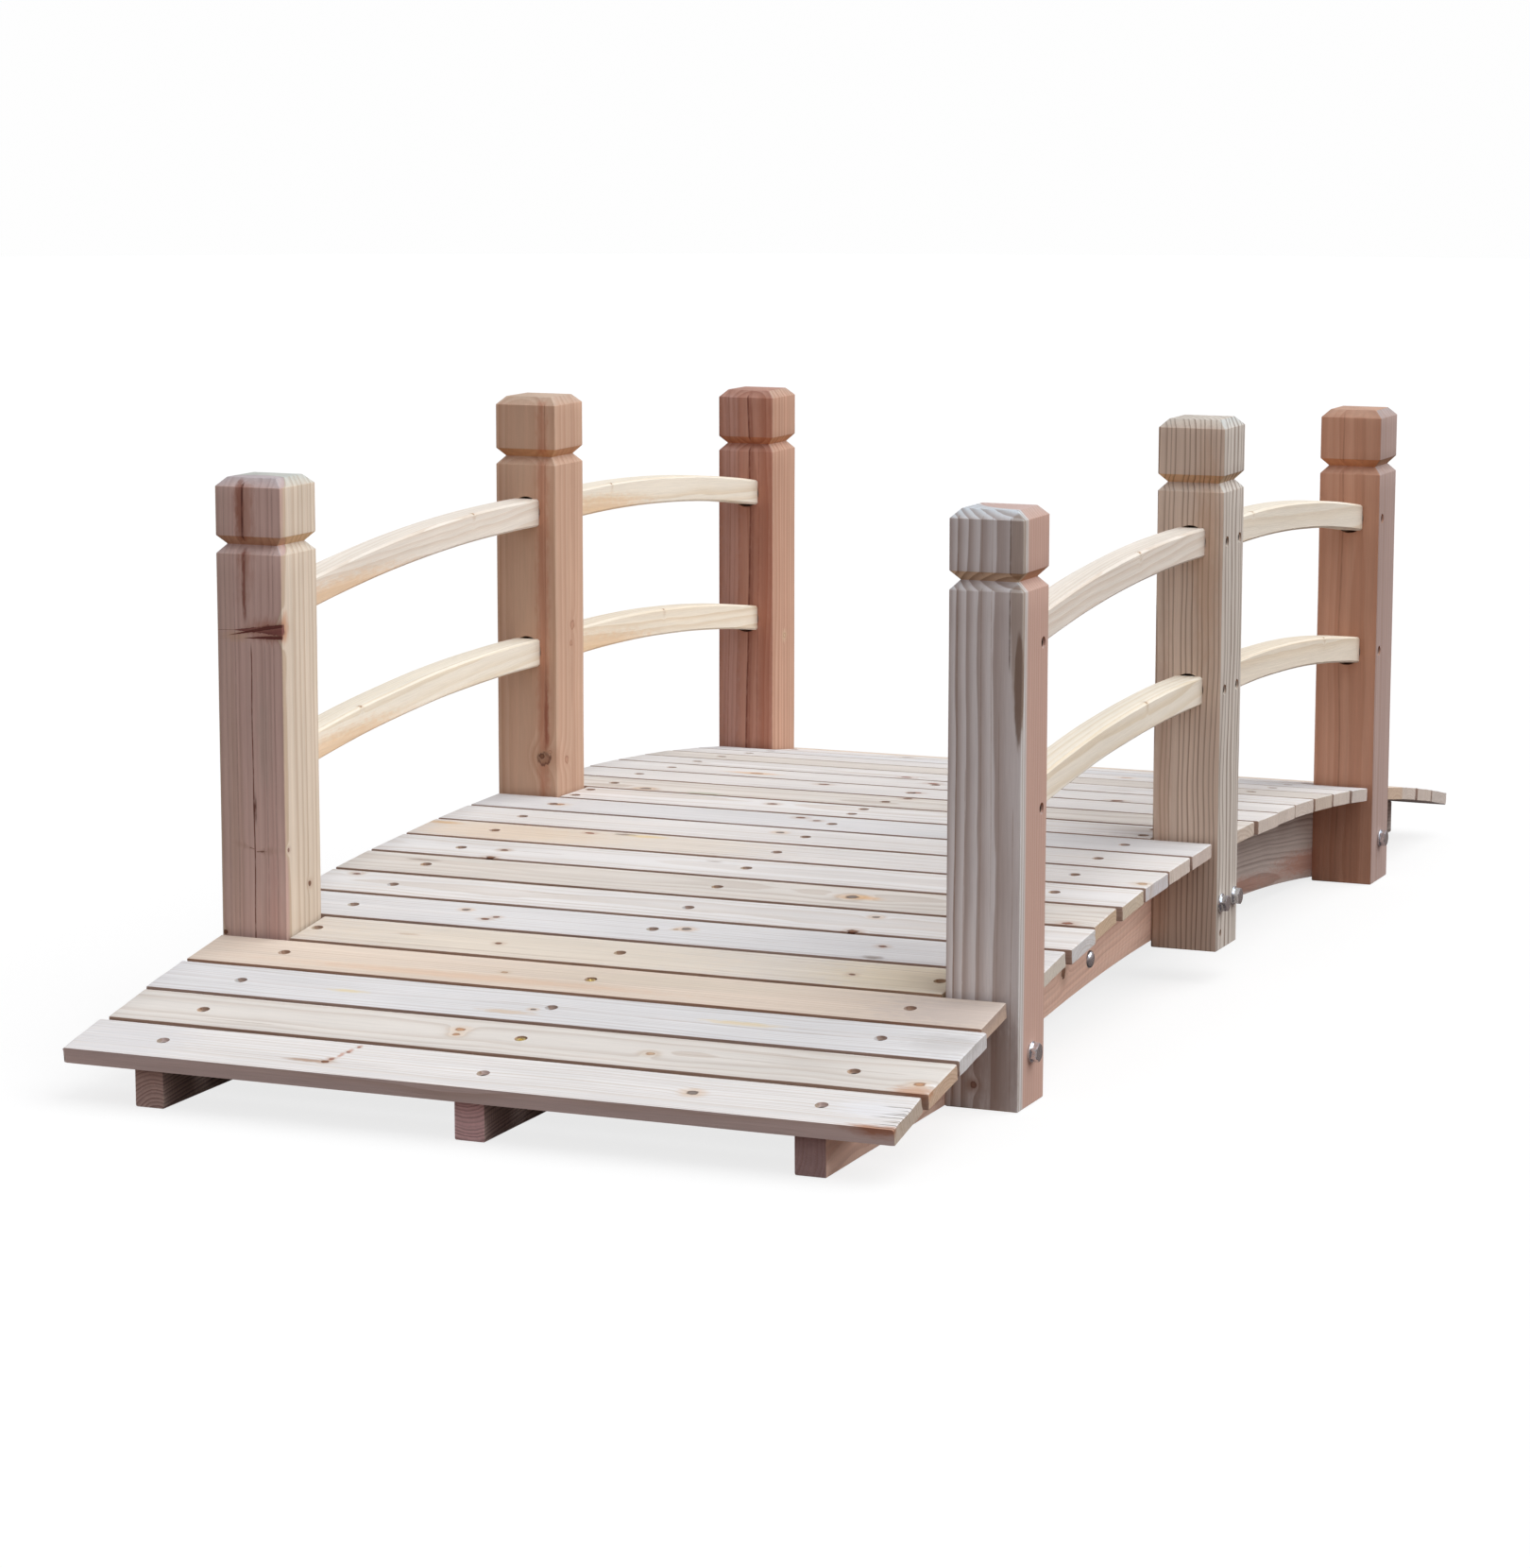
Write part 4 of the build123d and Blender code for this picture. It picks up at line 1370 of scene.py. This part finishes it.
beamNumber = 0
for lineName, line in {"left": -1, "middle": 0, "right": 1}.items():
    for endName, direction in {"near": -1, "far": 1}.items():
        beamNumber += 1
        half = f"{lineName}_{endName}"
        mesh, origin, tilt = beamMesh(f"stringer_{half}", direction, 40 + beamNumber)
        rolls = random.Random(beamNumber)
        knots = [((line * 12, rolls.uniform(-18, 18), rolls.uniform(-260, 260)), (1, 0.1, 0.2),
                  rolls.uniform(3, 5), "brown") for _ in range(2)]
        look = {**sawnBeam, "wander": 16.0, "contrast": 0.8, "endTint": (0.95, 0.88, 0.88),
                "tilt": tilt, "knots": knots, **beamLooks.get(half, beamLooks[lineName])}
        wood = woodMaterial(f"stringerWood_{half}", look, 90 + beamNumber)
        place = Matrix.Translation((line * bridge["stringerSpacing"], 0, 0)) @ Matrix.Translation(origin)
        addPiece(f"sawn_stringer_{half}", mesh, [wood], [f"stringer_{half}"], place)

splice = {
    "length": 430.0,
    "thickness": 24.0,
    "depth": 55.0,
    "ease": 1.2,
    "endInset": 0.4,
    "steps": 24,
}
spliceLook = {
    **sawnBeam, "early": tone(206, 178, 154), "late": tone(146, 106, 84), "pith": (-30.0, 50.0),
    "ringWidth": 4.0, "contrast": 0.9,
}
for sideName, side in sides.items():
    node = f"splice_{sideName}"
    low, high = [corner * 1000 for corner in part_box(node)]
    section = roundedSection(splice["thickness"] / 2, splice["depth"] / 2, splice["ease"], 2, 3)
    rings = []
    for step in range(splice["steps"] + 1):
        y = (step / splice["steps"] - 0.5) * splice["length"]
        inset = splice["endInset"] if step in (0, splice["steps"]) else 0.0
        rings.append([
            Vector((x - math.copysign(inset, x), y, z - math.copysign(inset, z))) for x, z in section])
    mesh = finishMesh(node, loft(rings))
    wood = woodMaterial(f"spliceWood_{sideName}", spliceLook, 99 + side)
    addPiece(f"sawn_{node}", mesh, [wood], [node], Matrix.Translation((low + high) / 2))
print("stringers: 6 halves and 2 splice plates")


bolt = {
    "flats": 13.0,
    "headHeight": 5.3,
    "nutHeight": 6.5,
    "topCircle": 0.96,           # share of the flats that the round top of a head spans
    "cornerSlope": 0.58,         # how fast the corners drop outside that circle
    "washerRadius": 8.0,
    "washerThickness": 1.6,
    "shank": 4.0,
    "grip": 81.0,
    "spliceGrip": 105.0,
    "domeRadius": 7.5,
    "domeHeight": 3.8,
    "coachRow": 190.0,           # from mid span
    "coachHeight": 48.0,
    "coachGrip": 48.0,
}


def hexRing(place, level, flats, limit=None, chamferFrom=None):
    # 24 points round a hexagon; limit keeps them inside a circle, chamferFrom drops the corners
    ring = []
    for step in range(24):
        angle = 2 * math.pi * step / 24
        offCorner = (angle + math.pi / 6) % (math.pi / 3) - math.pi / 6
        reach = flats / 2 / math.cos(offCorner)
        drop = max(0.0, reach - chamferFrom) * bolt["cornerSlope"] if chamferFrom else 0.0
        if limit:
            reach = min(reach, limit)
        ring.append(place @ Vector((reach * math.cos(angle), reach * math.sin(angle), level - drop)))
    return ring


def addHexHead(shell, place, height):
    flats = bolt["flats"]
    circle = flats / 2 * bolt["topCircle"]
    loft([
        hexRing(place, 0.0, flats - 0.3, flats / 2),
        hexRing(place, 0.35, flats),
        hexRing(place, height, flats, None, circle),
        hexRing(place, height, flats, circle),
        hexRing(place, height, flats - 3.0, circle - 1.2),
    ], shell)


def addWasher(shell, place):
    wide, thick = bolt["washerRadius"], bolt["washerThickness"]
    turned([(0.0, wide - 0.2), (0.25, wide), (thick - 0.3, wide), (thick, wide - 0.35)], place, 36, shell)


boltShell = bmesh.new()
onWasher = Matrix.Translation((0, 0, bolt["washerThickness"]))
turnRolls = random.Random(12)
for (sideName, stationName), place in postPlaces.items():
    side = sides[sideName]
    apart = everyPost["middleBoltOffset"]
    middlePost = stationName == "middle"
    grip = bolt["spliceGrip" if middlePost else "grip"]
    for offset in (-apart, apart) if middlePost else (0.0,):
        spot = place @ Vector((side * bridge["postSize"] / 2, offset, everyPost["boltHeight"]))
        outer = pointing(spot, (side, 0, 0)) @ Matrix.Rotation(turnRolls.uniform(0, 1), 4, "Z")
        inner = pointing(spot - Vector((side * grip, 0, 0)), (-side, 0, 0))
        addWasher(boltShell, outer)
        addHexHead(boltShell, outer @ onWasher, bolt["headHeight"])
        turned([(-grip, bolt["shank"]), (0.5, bolt["shank"])], outer, 24, boltShell)
        addHexHead(boltShell, inner, bolt["nutHeight"])
addPiece("hex_bolts", finishMesh("hexBolts", boltShell), [zinc], ["bolts"])

coachShell = bmesh.new()
coachProfile = [(-bolt["coachGrip"], bolt["shank"]), (0.0, bolt["shank"]), (0.01, bolt["domeRadius"])]
for step in range(1, 8):
    angle = math.pi / 2 * step / 8
    coachProfile.append((bolt["domeHeight"] * math.sin(angle), bolt["domeRadius"] * math.cos(angle)))
for side in sides.values():
    for row in (-bolt["coachRow"], bolt["coachRow"]):
        spot = Vector((side * (bridge["stringerSpacing"] + beam["half"]), row, bolt["coachHeight"]))
        turned(coachProfile, pointing(spot, (side, 0, 0)), 32, coachShell)
        inner = pointing(spot - Vector((side * bolt["coachGrip"], 0, 0)), (-side, 0, 0))
        addWasher(coachShell, inner)
        addHexHead(coachShell, inner @ onWasher, bolt["nutHeight"])
addPiece("coach_bolts", finishMesh("coachBolts", coachShell), [zinc])
print("bolts: hex ones through the posts, domed ones through the splice plates")
